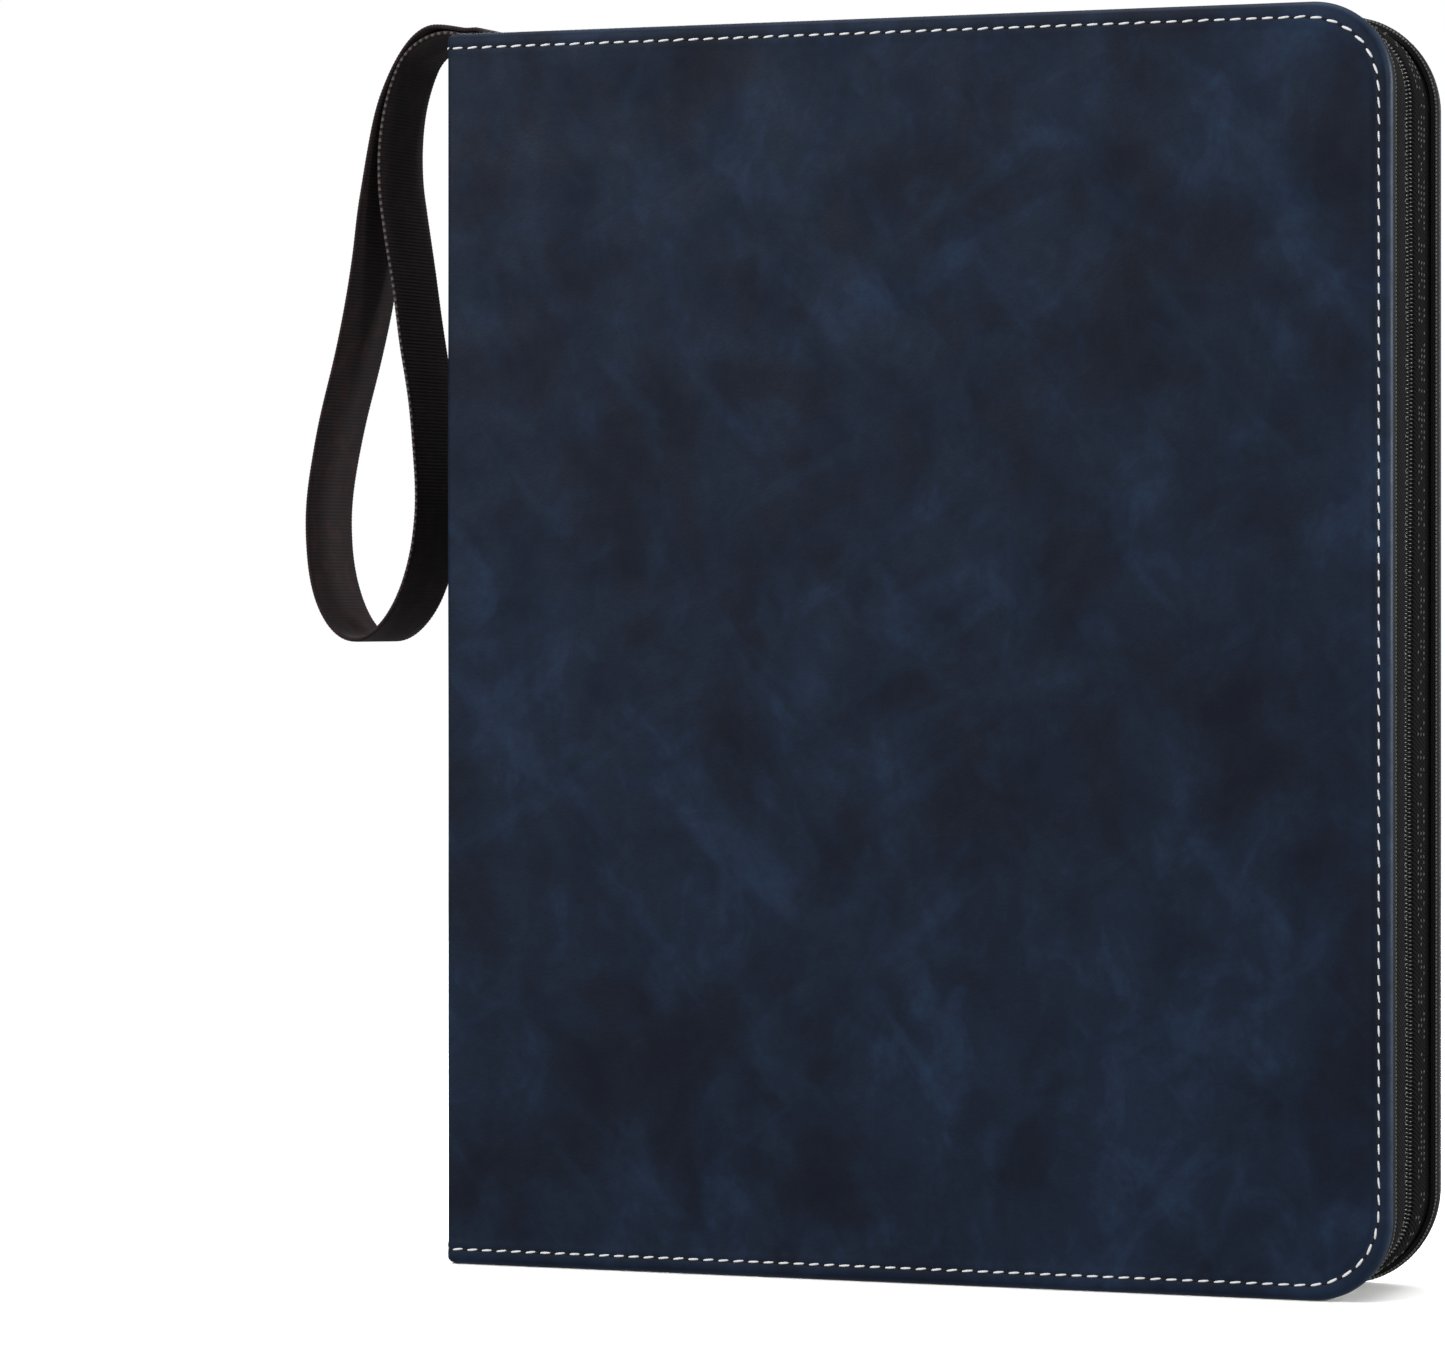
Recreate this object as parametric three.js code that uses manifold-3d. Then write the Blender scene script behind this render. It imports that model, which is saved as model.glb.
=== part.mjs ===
// Zip-round ring binder for trading cards, closed and standing upright on its lower edges.
// Millimetres, +Z up. The front cover faces -Y, the spine is on the -X side, the fore-edge on +X.
// The origin is the middle of the bounding box's base, the hanging wrist strap included.
// Inside this file, u is the distance from the spine's outer face towards the fore-edge.
import * as THREE from "three";
import { mergeVertices } from "three/addons/utils/BufferGeometryUtils.js";
import Module from "manifold-3d";

const wasm = await Module();
wasm.setup();

// ---- driving dimensions -------------------------------------------------------------------------
const COVER_HEIGHT = 330;
const COVER_WIDTH = 262;
const THICKNESS = 50;
const CORNER_RADIUS = 25;
const STRAP_REACH = 48; // how far the strap's loop hangs out beyond the spine

// layers of a cover, from the outside in
const LEATHER = 1.2;
const BOARD = 2.0;
const LINING = 0.5;
const GAP = 0.1; // between layers that touch
const RIM_DEPTH = 3.4; // the leather is turned in over the board's edge this far
const LINING_INSET = 2.2;
const PANEL_START = 4; // the boards and linings of the covers stop short of the spine's fold
const BINDING_DEPTH = 1.4;
const BINDING_INSET = [0.2, 1.6];

// the zipped wall round three sides; insets are measured inwards from the cover's edge
const WALL_START = 12;
const TAPE_INSET = [3.0, 3.7];
const COIL_INSET = [2.0, 4.4];
const GUSSET_INSET = [3.8, 4.6];
const SEAM_Y = 0; // the line where the two rows of the zip meet
const COIL_GAP = 1.0;
const COIL_WIDTH = 3.0;
const BACK_TAPE_END = 12;
const GUSSET_START = 8;
const COIL_START = 14.6;

// the ring mechanism on the spine
const RING_U = 21.5;
const RING_RADIUS = 14.5;
const WIRE_RADIUS = 1.6;
const RING_PITCH = 108;
const RING_TIP_GAP = 0.2;
const RING_FOOT_ANGLE = 160;
const PLATE = { width: 24, low: 4.0, high: 9.6, wall: 0.8, bend: 3, zLow: 26, zHigh: 304 };
const NOTCH = { inner: 3.4, halfHeight: 2.8 };
const BLADE = { low: 7.0, high: 7.8, inner: 0.15, outer: 9.5, zLow: 42, zHigh: 288 };
const RIVET = { z: [34, 296], shank: 1.4, hole: 1.6, head: 3, headHeight: 1.1 };
const LEVER_WIDTH = 14;

// pocket leaves threaded on the rings
const LEAVES_EACH_SIDE = 8;
const LEAF_PITCH = 1.3;
const FIRST_LEAF = 0.7;
const LEAF_THICKNESS = 0.9;
const LEAF_WIDTH = 226;
const LEAF_HEIGHT = 289;
const STRIP_WIDTH = 18;
const STRIP_HEIGHT = 263;
const RING_SLOT = { low: -3.2, high: 6.2, height: 10 }; // wide, as these stiff leaves can't slip

// slider and pull
const SLIDER_START = 15;
const SLIDER_LENGTH = 12;
const PULL = { width: 10, length: 21, thickness: 2.2 };

// webbing of the wrist strap
const WEBBING_WIDTH = 25;
const WEBBING = 1.3;

const HALF = THICKNESS / 2;
const MID_HEIGHT = COVER_HEIGHT / 2;
const RING_HEIGHTS = [MID_HEIGHT - RING_PITCH, MID_HEIGHT, MID_HEIGHT + RING_PITCH];
const SPINE_LAYERS = {
  board: [LEATHER + GAP, LEATHER + GAP + BOARD],
  lining: [LEATHER + 2 * GAP + BOARD, LEATHER + 2 * GAP + BOARD + LINING],
};

// ---- materials ----------------------------------------------------------------------------------
function finish(color, roughness, metalness = 0) {
  return () => new THREE.MeshStandardMaterial({ color, roughness, metalness });
}
const leatherFinish = finish(0x232d3f, 0.62);
const boardFinish = finish(0x8a7a63, 0.9);
const liningFinish = finish(0x0d0d0f, 0.9);
const tapeFinish = finish(0x141414, 0.85);
const coilFinish = finish(0x1a1a1a, 0.45);
const webbingFinish = finish(0x1b1817, 0.85);
const nickelFinish = finish(0xc9c6c0, 0.25, 1);
const gunmetalFinish = finish(0x3a3a3c, 0.4, 1);
const rubberFinish = finish(0x1e1e1e, 0.7);
const leafFinish = finish(0x2d2b2c, 0.35);

// ---- building helpers ---------------------------------------------------------------------------
const binder = new THREE.Group();
binder.position.x = -(COVER_WIDTH - STRAP_REACH) / 2;

function addPiece(name, geometry, makeMaterial, place = [0, 0, 0]) {
  const mesh = new THREE.Mesh(geometry, makeMaterial());
  mesh.name = name;
  mesh.position.set(...place);
  binder.add(mesh);
  return mesh;
}

function toSolid(geometry) {
  const bare = geometry.clone();
  bare.deleteAttribute("normal");
  bare.deleteAttribute("uv");
  const merged = mergeVertices(bare, 1e-4);
  return new wasm.Manifold(
    new wasm.Mesh({
      numProp: 3,
      vertProperties: merged.attributes.position.array,
      triVerts: new Uint32Array(merged.index.array),
    }),
  );
}

function toGeometry(solid) {
  const mesh = solid.getMesh();
  const geometry = new THREE.BufferGeometry();
  geometry.setAttribute("position", new THREE.BufferAttribute(mesh.vertProperties, 3));
  geometry.setIndex(new THREE.BufferAttribute(mesh.triVerts, 1));
  return geometry;
}

function cut(geometry, ...tools) {
  return toGeometry(tools.reduce((solid, tool) => solid.subtract(toSolid(tool)), toSolid(geometry)));
}

function join(...geometries) {
  return toGeometry(geometries.map(toSolid).reduce((all, solid) => all.add(solid)));
}

function block(u, y, z) {
  const geometry = new THREE.BoxGeometry(u[1] - u[0], y[1] - y[0], z[1] - z[0]);
  return geometry.translate((u[0] + u[1]) / 2, (y[0] + y[1]) / 2, (z[0] + z[1]) / 2);
}

function polygon(points) {
  return new THREE.Shape(points.map(([a, b]) => new THREE.Vector2(a, b)));
}

// A shape drawn in (u, z), made solid between two values of y.
function plateAcross(shape, y, curveSegments = 6) {
  const depth = y[1] - y[0];
  const geometry = new THREE.ExtrudeGeometry(shape, { depth, bevelEnabled: false, curveSegments });
  return geometry.rotateX(Math.PI / 2).translate(0, y[1], 0);
}

// A shape drawn in (u, y), made solid between two heights.
function prismUp(shape, z, curveSegments = 4) {
  const depth = z[1] - z[0];
  const geometry = new THREE.ExtrudeGeometry(shape, { depth, bevelEnabled: false, curveSegments });
  return geometry.translate(0, 0, z[0]);
}

// The stretch of y that layers from `outer` to `inner`, measured from the middle, take on one side.
function layerAt(side, outer, inner) {
  return side < 0 ? [-outer, -inner] : [inner, outer];
}

// A cover's outline, drawn inwards of its edge: square at the spine, round at the fore-edge.
function traceCover(path, inset, start) {
  const radius = CORNER_RADIUS - inset;
  const centreU = COVER_WIDTH - CORNER_RADIUS;
  path.moveTo(start, inset);
  path.lineTo(centreU, inset);
  path.absarc(centreU, CORNER_RADIUS, radius, -Math.PI / 2, 0, false);
  path.absarc(centreU, COVER_HEIGHT - CORNER_RADIUS, radius, 0, Math.PI / 2, false);
  path.lineTo(start, COVER_HEIGHT - inset);
}

function coverShape(inset, start) {
  const shape = new THREE.Shape();
  traceCover(shape, inset, start);
  shape.closePath();
  return shape;
}

// A band round the top, the fore-edge and the bottom, open towards the spine.
function wallShape([outerInset, innerInset], start) {
  const shape = new THREE.Shape();
  const radius = CORNER_RADIUS - innerInset;
  const centreU = COVER_WIDTH - CORNER_RADIUS;
  traceCover(shape, outerInset, start);
  shape.lineTo(start, COVER_HEIGHT - innerInset);
  shape.lineTo(centreU, COVER_HEIGHT - innerInset);
  shape.absarc(centreU, COVER_HEIGHT - CORNER_RADIUS, radius, Math.PI / 2, 0, true);
  shape.absarc(centreU, CORNER_RADIUS, radius, 0, -Math.PI / 2, true);
  shape.lineTo(start, innerInset);
  shape.closePath();
  return shape;
}

// ---- the two covers -----------------------------------------------------------------------------
function makeCover(name, side) {
  const boardOuter = HALF - LEATHER - GAP;
  const rimInner = HALF - RIM_DEPTH;
  const liningOuter = rimInner - GAP;
  const skin = plateAcross(coverShape(0, LEATHER + GAP), layerAt(side, HALF, rimInner));
  const hollow = plateAcross(coverShape(LEATHER, 0), layerAt(side, HALF - LEATHER, rimInner - 1));
  const foldClearance = plateAcross(
    polygon([[0, -1], [PANEL_START - 0.4, -1], [PANEL_START - 0.4, COVER_HEIGHT + 1], [0, COVER_HEIGHT + 1]]),
    layerAt(side, HALF - LEATHER, rimInner - 1),
  );
  addPiece(`${name}_leather`, cut(skin, hollow, foldClearance), leatherFinish);
  addPiece(
    `${name}_board`,
    plateAcross(coverShape(LEATHER + GAP, PANEL_START), layerAt(side, boardOuter, boardOuter - BOARD)),
    boardFinish,
  );
  addPiece(
    `${name}_lining`,
    plateAcross(coverShape(LINING_INSET, PANEL_START + 0.6), layerAt(side, liningOuter, liningOuter - LINING)),
    liningFinish,
  );
  addPiece(
    `${name}_edge_binding`,
    plateAcross(wallShape(BINDING_INSET, WALL_START), layerAt(side, liningOuter, liningOuter - BINDING_DEPTH)),
    tapeFinish,
  );
}
makeCover("front", -1);
makeCover("back", 1);

// ---- the zipped wall ----------------------------------------------------------------------------
const COIL_FRONT = [SEAM_Y - COIL_GAP / 2 - COIL_WIDTH, SEAM_Y - COIL_GAP / 2];
const COIL_BACK = [SEAM_Y + COIL_GAP / 2, SEAM_Y + COIL_GAP / 2 + COIL_WIDTH];
const LINING_FACE = HALF - RIM_DEPTH - GAP - LINING;

const tapeShape = wallShape(TAPE_INSET, WALL_START);
const coilShape = wallShape(COIL_INSET, COIL_START);
addPiece("front_zip_tape", plateAcross(tapeShape, [-LINING_FACE + GAP, COIL_FRONT[0] - GAP]), tapeFinish);
addPiece("front_zip_coil", plateAcross(coilShape, COIL_FRONT), coilFinish);
addPiece("back_zip_coil", plateAcross(coilShape, COIL_BACK), coilFinish);
addPiece("back_zip_tape", plateAcross(tapeShape, [COIL_BACK[1] + GAP, BACK_TAPE_END]), tapeFinish);
addPiece(
  "back_gusset",
  plateAcross(wallShape(GUSSET_INSET, WALL_START), [GUSSET_START, LINING_FACE - GAP]),
  tapeFinish,
);

function makeStop(name, mirror) {
  const near = COVER_HEIGHT - COIL_INSET[1];
  const far = COVER_HEIGHT - COIL_INSET[0];
  const z = mirror ? [COVER_HEIGHT - far, COVER_HEIGHT - near] : [near, far];
  addPiece(name, block([WALL_START + 0.3, COIL_START - 0.3], COIL_BACK, z), gunmetalFinish);
}
makeStop("zip_top_stop", false);
makeStop("zip_bottom_stop", true);

// ---- slider and pull ----------------------------------------------------------------------------
const COIL_TOP = COVER_HEIGHT - COIL_INSET[0];
const COIL_UNDERSIDE = COVER_HEIGHT - COIL_INSET[1];
const SLIDER_PLATE = 1.3;
const SLIDER_TOP = COIL_TOP + 0.2 + SLIDER_PLATE;
const BAIL = { start: 3.2, end: 8.0, leg: 1.2, height: 2.5, halfWidth: 1.4 };
const PULL_PIVOT_U = BAIL.start + 2.4; // the pull's end bar turns here, inside the bail

function makeSlider() {
  const outline = polygon([
    [0, -3.8], [2, -4.4], [SLIDER_LENGTH - 3, -5], [SLIDER_LENGTH, -3.6],
    [SLIDER_LENGTH, 3.6], [SLIDER_LENGTH - 3, 5], [2, 4.4], [0, 3.8],
  ]);
  const upper = prismUp(outline, [COIL_TOP + 0.2, SLIDER_TOP]);
  const lower = prismUp(outline, [COIL_UNDERSIDE - 0.2 - SLIDER_PLATE, COIL_UNDERSIDE - 0.2]);
  const post = block(
    [SLIDER_LENGTH - 2.5, SLIDER_LENGTH - 0.8],
    [-0.25, 0.25],
    [COIL_UNDERSIDE - 0.6, COIL_TOP + 0.6],
  );
  const across = [-BAIL.halfWidth, BAIL.halfWidth];
  const bail = block([BAIL.start, BAIL.end], across, [SLIDER_TOP - 0.3, SLIDER_TOP + BAIL.height]);
  const eye = block(
    [BAIL.start + BAIL.leg, BAIL.end - BAIL.leg],
    [-BAIL.halfWidth - 1, BAIL.halfWidth + 1],
    [SLIDER_TOP, SLIDER_TOP + BAIL.height - 0.8],
  );
  return cut(join(upper, lower, post, bail), eye);
}

function roundedBar(start, end, halfWidth, radius) {
  const shape = new THREE.Shape();
  shape.moveTo(start + radius, -halfWidth);
  shape.absarc(end - radius, -halfWidth + radius, radius, -Math.PI / 2, 0, false);
  shape.absarc(end - radius, halfWidth - radius, radius, 0, Math.PI / 2, false);
  shape.absarc(start + radius, halfWidth - radius, radius, Math.PI / 2, Math.PI, false);
  shape.absarc(start + radius, -halfWidth + radius, radius, Math.PI, 1.5 * Math.PI, false);
  shape.closePath();
  return shape;
}

const LINK = { low: SLIDER_TOP + 0.3, high: SLIDER_TOP + 1.3, end: 15 };
const sliderPlace = [SLIDER_START, SEAM_Y, 0];
addPiece("zip_slider", makeSlider(), gunmetalFinish, sliderPlace);

const linkStart = PULL_PIVOT_U - 0.6;
const linkWindow = new THREE.Path(polygon([
  [linkStart + 1.2, -1.8], [linkStart + 1.2, 1.8], [LINK.end - 1.2, 1.8], [LINK.end - 1.2, -1.8],
]).getPoints());
const linkShape = roundedBar(linkStart, LINK.end, 3, 0.8);
linkShape.holes.push(linkWindow);
addPiece("pull_link", prismUp(linkShape, [LINK.low, LINK.high], 2), gunmetalFinish, sliderPlace);

const tabStart = LINK.end - 1.6;
const tabMiddle = (LINK.low + LINK.high) / 2;
const tabSolid = prismUp(
  roundedBar(tabStart, tabStart + PULL.length, PULL.width / 2, 3.4),
  [tabMiddle - PULL.thickness / 2, tabMiddle + PULL.thickness / 2],
);
const linkSeat = block([tabStart - 1, LINK.end + GAP], [-3.1, 3.1], [LINK.low - GAP, LINK.high + GAP]);
addPiece("pull_tab", cut(tabSolid, linkSeat), rubberFinish, sliderPlace);

// ---- the spine ----------------------------------------------------------------------------------
const SPINE_RIM = 20.3;
const GUSSET_FABRIC = 0.7;
const GUSSET_TOP = 324.3;

function rivetHoles() {
  return RIVET.z.map((z) => {
    const hole = new THREE.CylinderGeometry(RIVET.hole, RIVET.hole, 30, 16);
    return hole.rotateZ(Math.PI / 2).translate(0, 0, z);
  });
}

const rimU = [LEATHER - GAP, RIM_DEPTH];
const spineSkin = join(
  block([0, LEATHER], [-HALF, HALF], [0, COVER_HEIGHT]),
  block(rimU, [-SPINE_RIM, SPINE_RIM], [0, LEATHER]),
  block(rimU, [-SPINE_RIM, SPINE_RIM], [COVER_HEIGHT - LEATHER, COVER_HEIGHT]),
);
addPiece("spine_leather", spineSkin, leatherFinish);
const spineBoard = block(
  SPINE_LAYERS.board,
  [-SPINE_RIM, SPINE_RIM],
  [LEATHER + GAP, COVER_HEIGHT - LEATHER - GAP],
);
addPiece("spine_board", cut(spineBoard, ...rivetHoles()), boardFinish);
const spineLining = block(
  SPINE_LAYERS.lining,
  [-SPINE_RIM, SPINE_RIM],
  [LINING_INSET, COVER_HEIGHT - LINING_INSET],
);
addPiece("spine_lining", cut(spineLining, ...rivetHoles()), liningFinish);

// The cloth that closes the spine's end is an angle: one leg on the lining, one across the gap.
function makeSpineGusset(name, mirror) {
  const profile = [
    [4.0, GUSSET_TOP - 11], [4.0 + GUSSET_FABRIC, GUSSET_TOP - 11],
    [4.0 + GUSSET_FABRIC, GUSSET_TOP - GUSSET_FABRIC], [WALL_START - 0.5, GUSSET_TOP - GUSSET_FABRIC],
    [WALL_START - 0.5, GUSSET_TOP], [4.0, GUSSET_TOP],
  ];
  const points = mirror ? profile.map(([u, z]) => [u, COVER_HEIGHT - z]) : profile;
  addPiece(name, plateAcross(polygon(points), [-SPINE_RIM, SPINE_RIM]), tapeFinish);
}
makeSpineGusset("spine_top_gusset", false);
makeSpineGusset("spine_bottom_gusset", true);

// ---- wrist strap --------------------------------------------------------------------------------
const STRAP_LEAVES_AT = 330.4; // height where the sewn end clears the leather's edge
const STRAP_ANCHOR_TOP = 333.6;
const anchorProfile = polygon([
  [4.0, GUSSET_TOP + 0.3], [7.0, GUSSET_TOP + 0.3], [7.0, 332.0], [5.4, STRAP_ANCHOR_TOP],
  [1.2, STRAP_ANCHOR_TOP], [1.2, STRAP_LEAVES_AT], [4.0, STRAP_LEAVES_AT],
]);
const acrossWebbing = [-WEBBING_WIDTH / 2, WEBBING_WIDTH / 2];
addPiece("strap_anchor", plateAcross(anchorProfile, acrossWebbing), webbingFinish);

// The loop's centreline in (u, z): out over the spine's top, down, round and back up inside itself.
function strapLine() {
  const middle = WEBBING / 2;
  const left = -STRAP_REACH + middle;
  const line = new THREE.Path();
  line.moveTo(-0.6, 332.9);
  line.bezierCurveTo(-4, 333.6, -6, 333.9, -9, 333.9);
  line.bezierCurveTo(-15, 333.9, -20.5, 326.5, -25.2, 314.5);
  line.bezierCurveTo(-29.5, 303.5, -32, 286, -35.5, 264);
  line.bezierCurveTo(-39, 242, left, 219, left, 199);
  line.bezierCurveTo(left, 181, -41.5, 167.3, -33, 167.3);
  line.bezierCurveTo(-23, 167.3, -13.9, 184, -13.9, 205);
  line.bezierCurveTo(-13.9, 226, -18.5, 246, -21.3, 266);
  line.bezierCurveTo(-23.3, 280, -25, 288, -24.4, 300);
  line.bezierCurveTo(-23.9, 309, -21.5, 318, -17.6, 324.5);
  line.bezierCurveTo(-14, 330.3, -9, 332.3, -5, 332.1);
  line.bezierCurveTo(-3.5, 332, -2, 331.5, -0.6, 331.4);
  return line;
}

// A band of even thickness along a line, as an outline.
function bandAlong(line, thickness, divisions) {
  const points = line.getPoints(divisions);
  const offset = (distance) => points.map((point, i) => {
    const before = points[Math.max(i - 1, 0)];
    const after = points[Math.min(i + 1, points.length - 1)];
    const along = after.clone().sub(before).normalize();
    return new THREE.Vector2(point.x - along.y * distance, point.y + along.x * distance);
  });
  return new THREE.Shape([...offset(thickness / 2), ...offset(-thickness / 2).reverse()]);
}
addPiece("wrist_strap", plateAcross(bandAlong(strapLine(), WEBBING, 7), acrossWebbing), webbingFinish);

// ---- ring mechanism -----------------------------------------------------------------------------
function traceArch(path, halfWidth, top, bend, base) {
  path.moveTo(base, -halfWidth);
  path.lineTo(top - bend, -halfWidth);
  path.absarc(top - bend, -halfWidth + bend, bend, -Math.PI / 2, 0, false);
  path.absarc(top - bend, halfWidth - bend, bend, 0, Math.PI / 2, false);
  path.lineTo(base, halfWidth);
}

function makeCoverPlate() {
  const outer = new THREE.Shape();
  traceArch(outer, PLATE.width / 2, PLATE.high, PLATE.bend, PLATE.low);
  outer.closePath();
  const inner = new THREE.Shape();
  traceArch(inner, PLATE.width / 2 - PLATE.wall, PLATE.high - PLATE.wall, PLATE.bend - PLATE.wall, 0);
  inner.closePath();
  const notches = RING_HEIGHTS.flatMap((z) => [-1, 1].map((side) => {
    const y = layerAt(side, PLATE.width / 2 + 1, NOTCH.inner);
    return block([0, PLATE.high + 1], y, [z - NOTCH.halfHeight, z + NOTCH.halfHeight]);
  }));
  const shell = prismUp(outer, [PLATE.zLow, PLATE.zHigh]);
  const inside = prismUp(inner, [PLATE.zLow - 1, PLATE.zHigh + 1]);
  return cut(shell, inside, ...notches, ...rivetHoles());
}
addPiece("ring_cover_plate", makeCoverPlate(), nickelFinish);

class RingArc extends THREE.Curve {
  constructor(radius, from, to) {
    super();
    this.radius = radius;
    this.from = from;
    this.to = to;
  }
  getPoint(t, target = new THREE.Vector3()) {
    const angle = this.from + (this.to - this.from) * t;
    return target.set(this.radius * Math.cos(angle), this.radius * Math.sin(angle), 0);
  }
}

function circleShape(radius, sides) {
  const corners = Array.from({ length: sides }, (_, i) => (2 * Math.PI * i) / sides);
  return polygon(corners.map((angle) => [radius * Math.cos(angle), radius * Math.sin(angle)]));
}

function makeHalfRing(side) {
  const tip = RING_TIP_GAP / RING_RADIUS;
  const foot = THREE.MathUtils.degToRad(RING_FOOT_ANGLE);
  const wire = new THREE.ExtrudeGeometry(circleShape(WIRE_RADIUS, 12), {
    steps: 18,
    extrudePath: new RingArc(RING_RADIUS, side * tip, side * foot),
  });
  const belowBlade = block([-40, BLADE.high + GAP - RING_U], [-20, 20], [-5, 5]);
  return cut(wire, belowBlade);
}

function makeRingSide(name, side) {
  const blade = block([BLADE.low, BLADE.high], layerAt(side, BLADE.outer, BLADE.inner), [BLADE.zLow, BLADE.zHigh]);
  addPiece(`${name}_ring_blade`, blade, nickelFinish);
  RING_HEIGHTS.forEach((z, i) => {
    addPiece(`${name}_half_ring_${i + 1}`, makeHalfRing(side), nickelFinish, [RING_U, 0, z]);
  });
}
makeRingSide("left", -1);
makeRingSide("right", 1);

function makeLever(name, mirror) {
  const profile = [
    [4.6, 304.8], [8.0, 304.8], [22.0, 309.0], [23.4, 311.6],
    [22.2, 312.2], [20.8, 310.4], [7.0, 306.6], [4.6, 306.6],
  ];
  const points = mirror ? profile.map(([u, z]) => [u, COVER_HEIGHT - z]) : profile;
  addPiece(name, plateAcross(polygon(points), [-LEVER_WIDTH / 2, LEVER_WIDTH / 2]), nickelFinish);
}
makeLever("upper_lever", false);
makeLever("lower_lever", true);

function makeRivet(name, z) {
  const under = PLATE.high + GAP;
  const top = under + RIVET.headHeight;
  const bottom = LEATHER + 2 * GAP;
  const profile = [
    [0, bottom], [RIVET.shank, bottom], [RIVET.shank, under], [RIVET.head, under],
    [RIVET.head, under + 0.4], [RIVET.head * 0.6, top - 0.1], [0, top],
  ].map(([radius, height]) => new THREE.Vector2(radius, height));
  const rivet = new THREE.LatheGeometry(profile, 14);
  addPiece(name, rivet.rotateZ(-Math.PI / 2), nickelFinish, [0, 0, z]);
}
makeRivet("lower_rivet", RIVET.z[0]);
makeRivet("upper_rivet", RIVET.z[1]);

// ---- pocket leaves ------------------------------------------------------------------------------
// A leaf is drawn from the middle of its ring holes: the binding strip is shorter than the pockets.
function leafShape() {
  const strip = STRIP_WIDTH / 2;
  const end = LEAF_WIDTH - strip;
  const stripHalf = STRIP_HEIGHT / 2;
  const half = LEAF_HEIGHT / 2;
  const shape = new THREE.Shape();
  const round = 3;
  shape.moveTo(strip, -half);
  shape.lineTo(end - round, -half);
  shape.absarc(end - round, -half + round, round, -Math.PI / 2, 0, false);
  shape.absarc(end - round, half - round, round, 0, Math.PI / 2, false);
  shape.lineTo(strip, half);
  shape.lineTo(strip, stripHalf);
  shape.absarc(-strip + 2 * round, stripHalf - 2 * round, 2 * round, Math.PI / 2, Math.PI, false);
  shape.absarc(-strip + 2 * round, -stripHalf + 2 * round, 2 * round, Math.PI, 1.5 * Math.PI, false);
  shape.lineTo(strip, -stripHalf);
  shape.closePath();
  [-RING_PITCH, 0, RING_PITCH].forEach((z) => {
    const slot = new THREE.Path();
    const low = z - RING_SLOT.height / 2;
    const high = z + RING_SLOT.height / 2;
    const bend = 2.5;
    slot.moveTo(RING_SLOT.low, low + bend);
    slot.absarc(RING_SLOT.low + bend, high - bend, bend, Math.PI, Math.PI / 2, true);
    slot.absarc(RING_SLOT.high - bend, high - bend, bend, Math.PI / 2, 0, true);
    slot.absarc(RING_SLOT.high - bend, low + bend, bend, 0, -Math.PI / 2, true);
    slot.absarc(RING_SLOT.low + bend, low + bend, bend, -Math.PI / 2, -Math.PI, true);
    shape.holes.push(slot);
  });
  return shape;
}

function makeLeaves(name, side) {
  for (let i = 0; i < LEAVES_EACH_SIDE; i += 1) {
    const offset = FIRST_LEAF + i * LEAF_PITCH;
    const reach = Math.sqrt(RING_RADIUS ** 2 - offset ** 2);
    const leaf = plateAcross(leafShape(), [-LEAF_THICKNESS / 2, LEAF_THICKNESS / 2], 1);
    const place = [RING_U + reach, side * offset, MID_HEIGHT];
    addPiece(`${name}_leaf_0${i + 1}`, leaf, leafFinish, place);
  }
}
makeLeaves("left", -1);
makeLeaves("right", 1);

export default binder;
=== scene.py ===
import math
import random

import bmesh
import bpy
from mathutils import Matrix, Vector, noise


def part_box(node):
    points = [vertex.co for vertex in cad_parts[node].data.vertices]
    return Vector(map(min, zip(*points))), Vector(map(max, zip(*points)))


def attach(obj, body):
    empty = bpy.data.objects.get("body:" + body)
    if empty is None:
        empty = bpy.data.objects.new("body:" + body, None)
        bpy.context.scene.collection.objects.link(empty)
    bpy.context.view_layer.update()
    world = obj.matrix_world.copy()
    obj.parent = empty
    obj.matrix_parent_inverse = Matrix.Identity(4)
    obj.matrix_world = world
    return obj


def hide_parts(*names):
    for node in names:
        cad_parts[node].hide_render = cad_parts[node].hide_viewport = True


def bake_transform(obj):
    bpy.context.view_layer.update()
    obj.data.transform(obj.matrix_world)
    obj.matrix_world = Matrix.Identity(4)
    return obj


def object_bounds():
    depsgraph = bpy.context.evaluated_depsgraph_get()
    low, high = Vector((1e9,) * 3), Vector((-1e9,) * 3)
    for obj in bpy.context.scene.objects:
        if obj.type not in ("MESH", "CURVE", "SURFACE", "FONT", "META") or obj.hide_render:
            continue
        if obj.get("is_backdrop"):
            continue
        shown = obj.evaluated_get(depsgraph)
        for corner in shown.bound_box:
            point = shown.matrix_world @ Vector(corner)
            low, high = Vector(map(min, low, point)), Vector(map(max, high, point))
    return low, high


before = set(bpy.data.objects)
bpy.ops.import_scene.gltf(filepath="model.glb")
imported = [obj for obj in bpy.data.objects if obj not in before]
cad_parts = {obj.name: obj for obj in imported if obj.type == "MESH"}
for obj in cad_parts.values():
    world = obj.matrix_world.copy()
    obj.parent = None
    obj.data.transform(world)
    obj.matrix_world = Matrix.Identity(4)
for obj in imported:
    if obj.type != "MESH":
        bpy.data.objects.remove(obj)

# Trading card binder: zip-round case, wrist strap, ring mechanism and pocket leaves.
# Sizes are in millimetres, in the binder's own coordinates: u runs from the spine's outer face to the
# fore-edge, y from the front cover (minus) to the back cover (plus), and z up from the lower edges.
# The inset of a point is its distance in from a cover's edge, and its depth is measured from the
# cover's outer face towards the middle.
cad_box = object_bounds()
MM = 0.001
SPINE_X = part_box("spine_leather")[0].x


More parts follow.
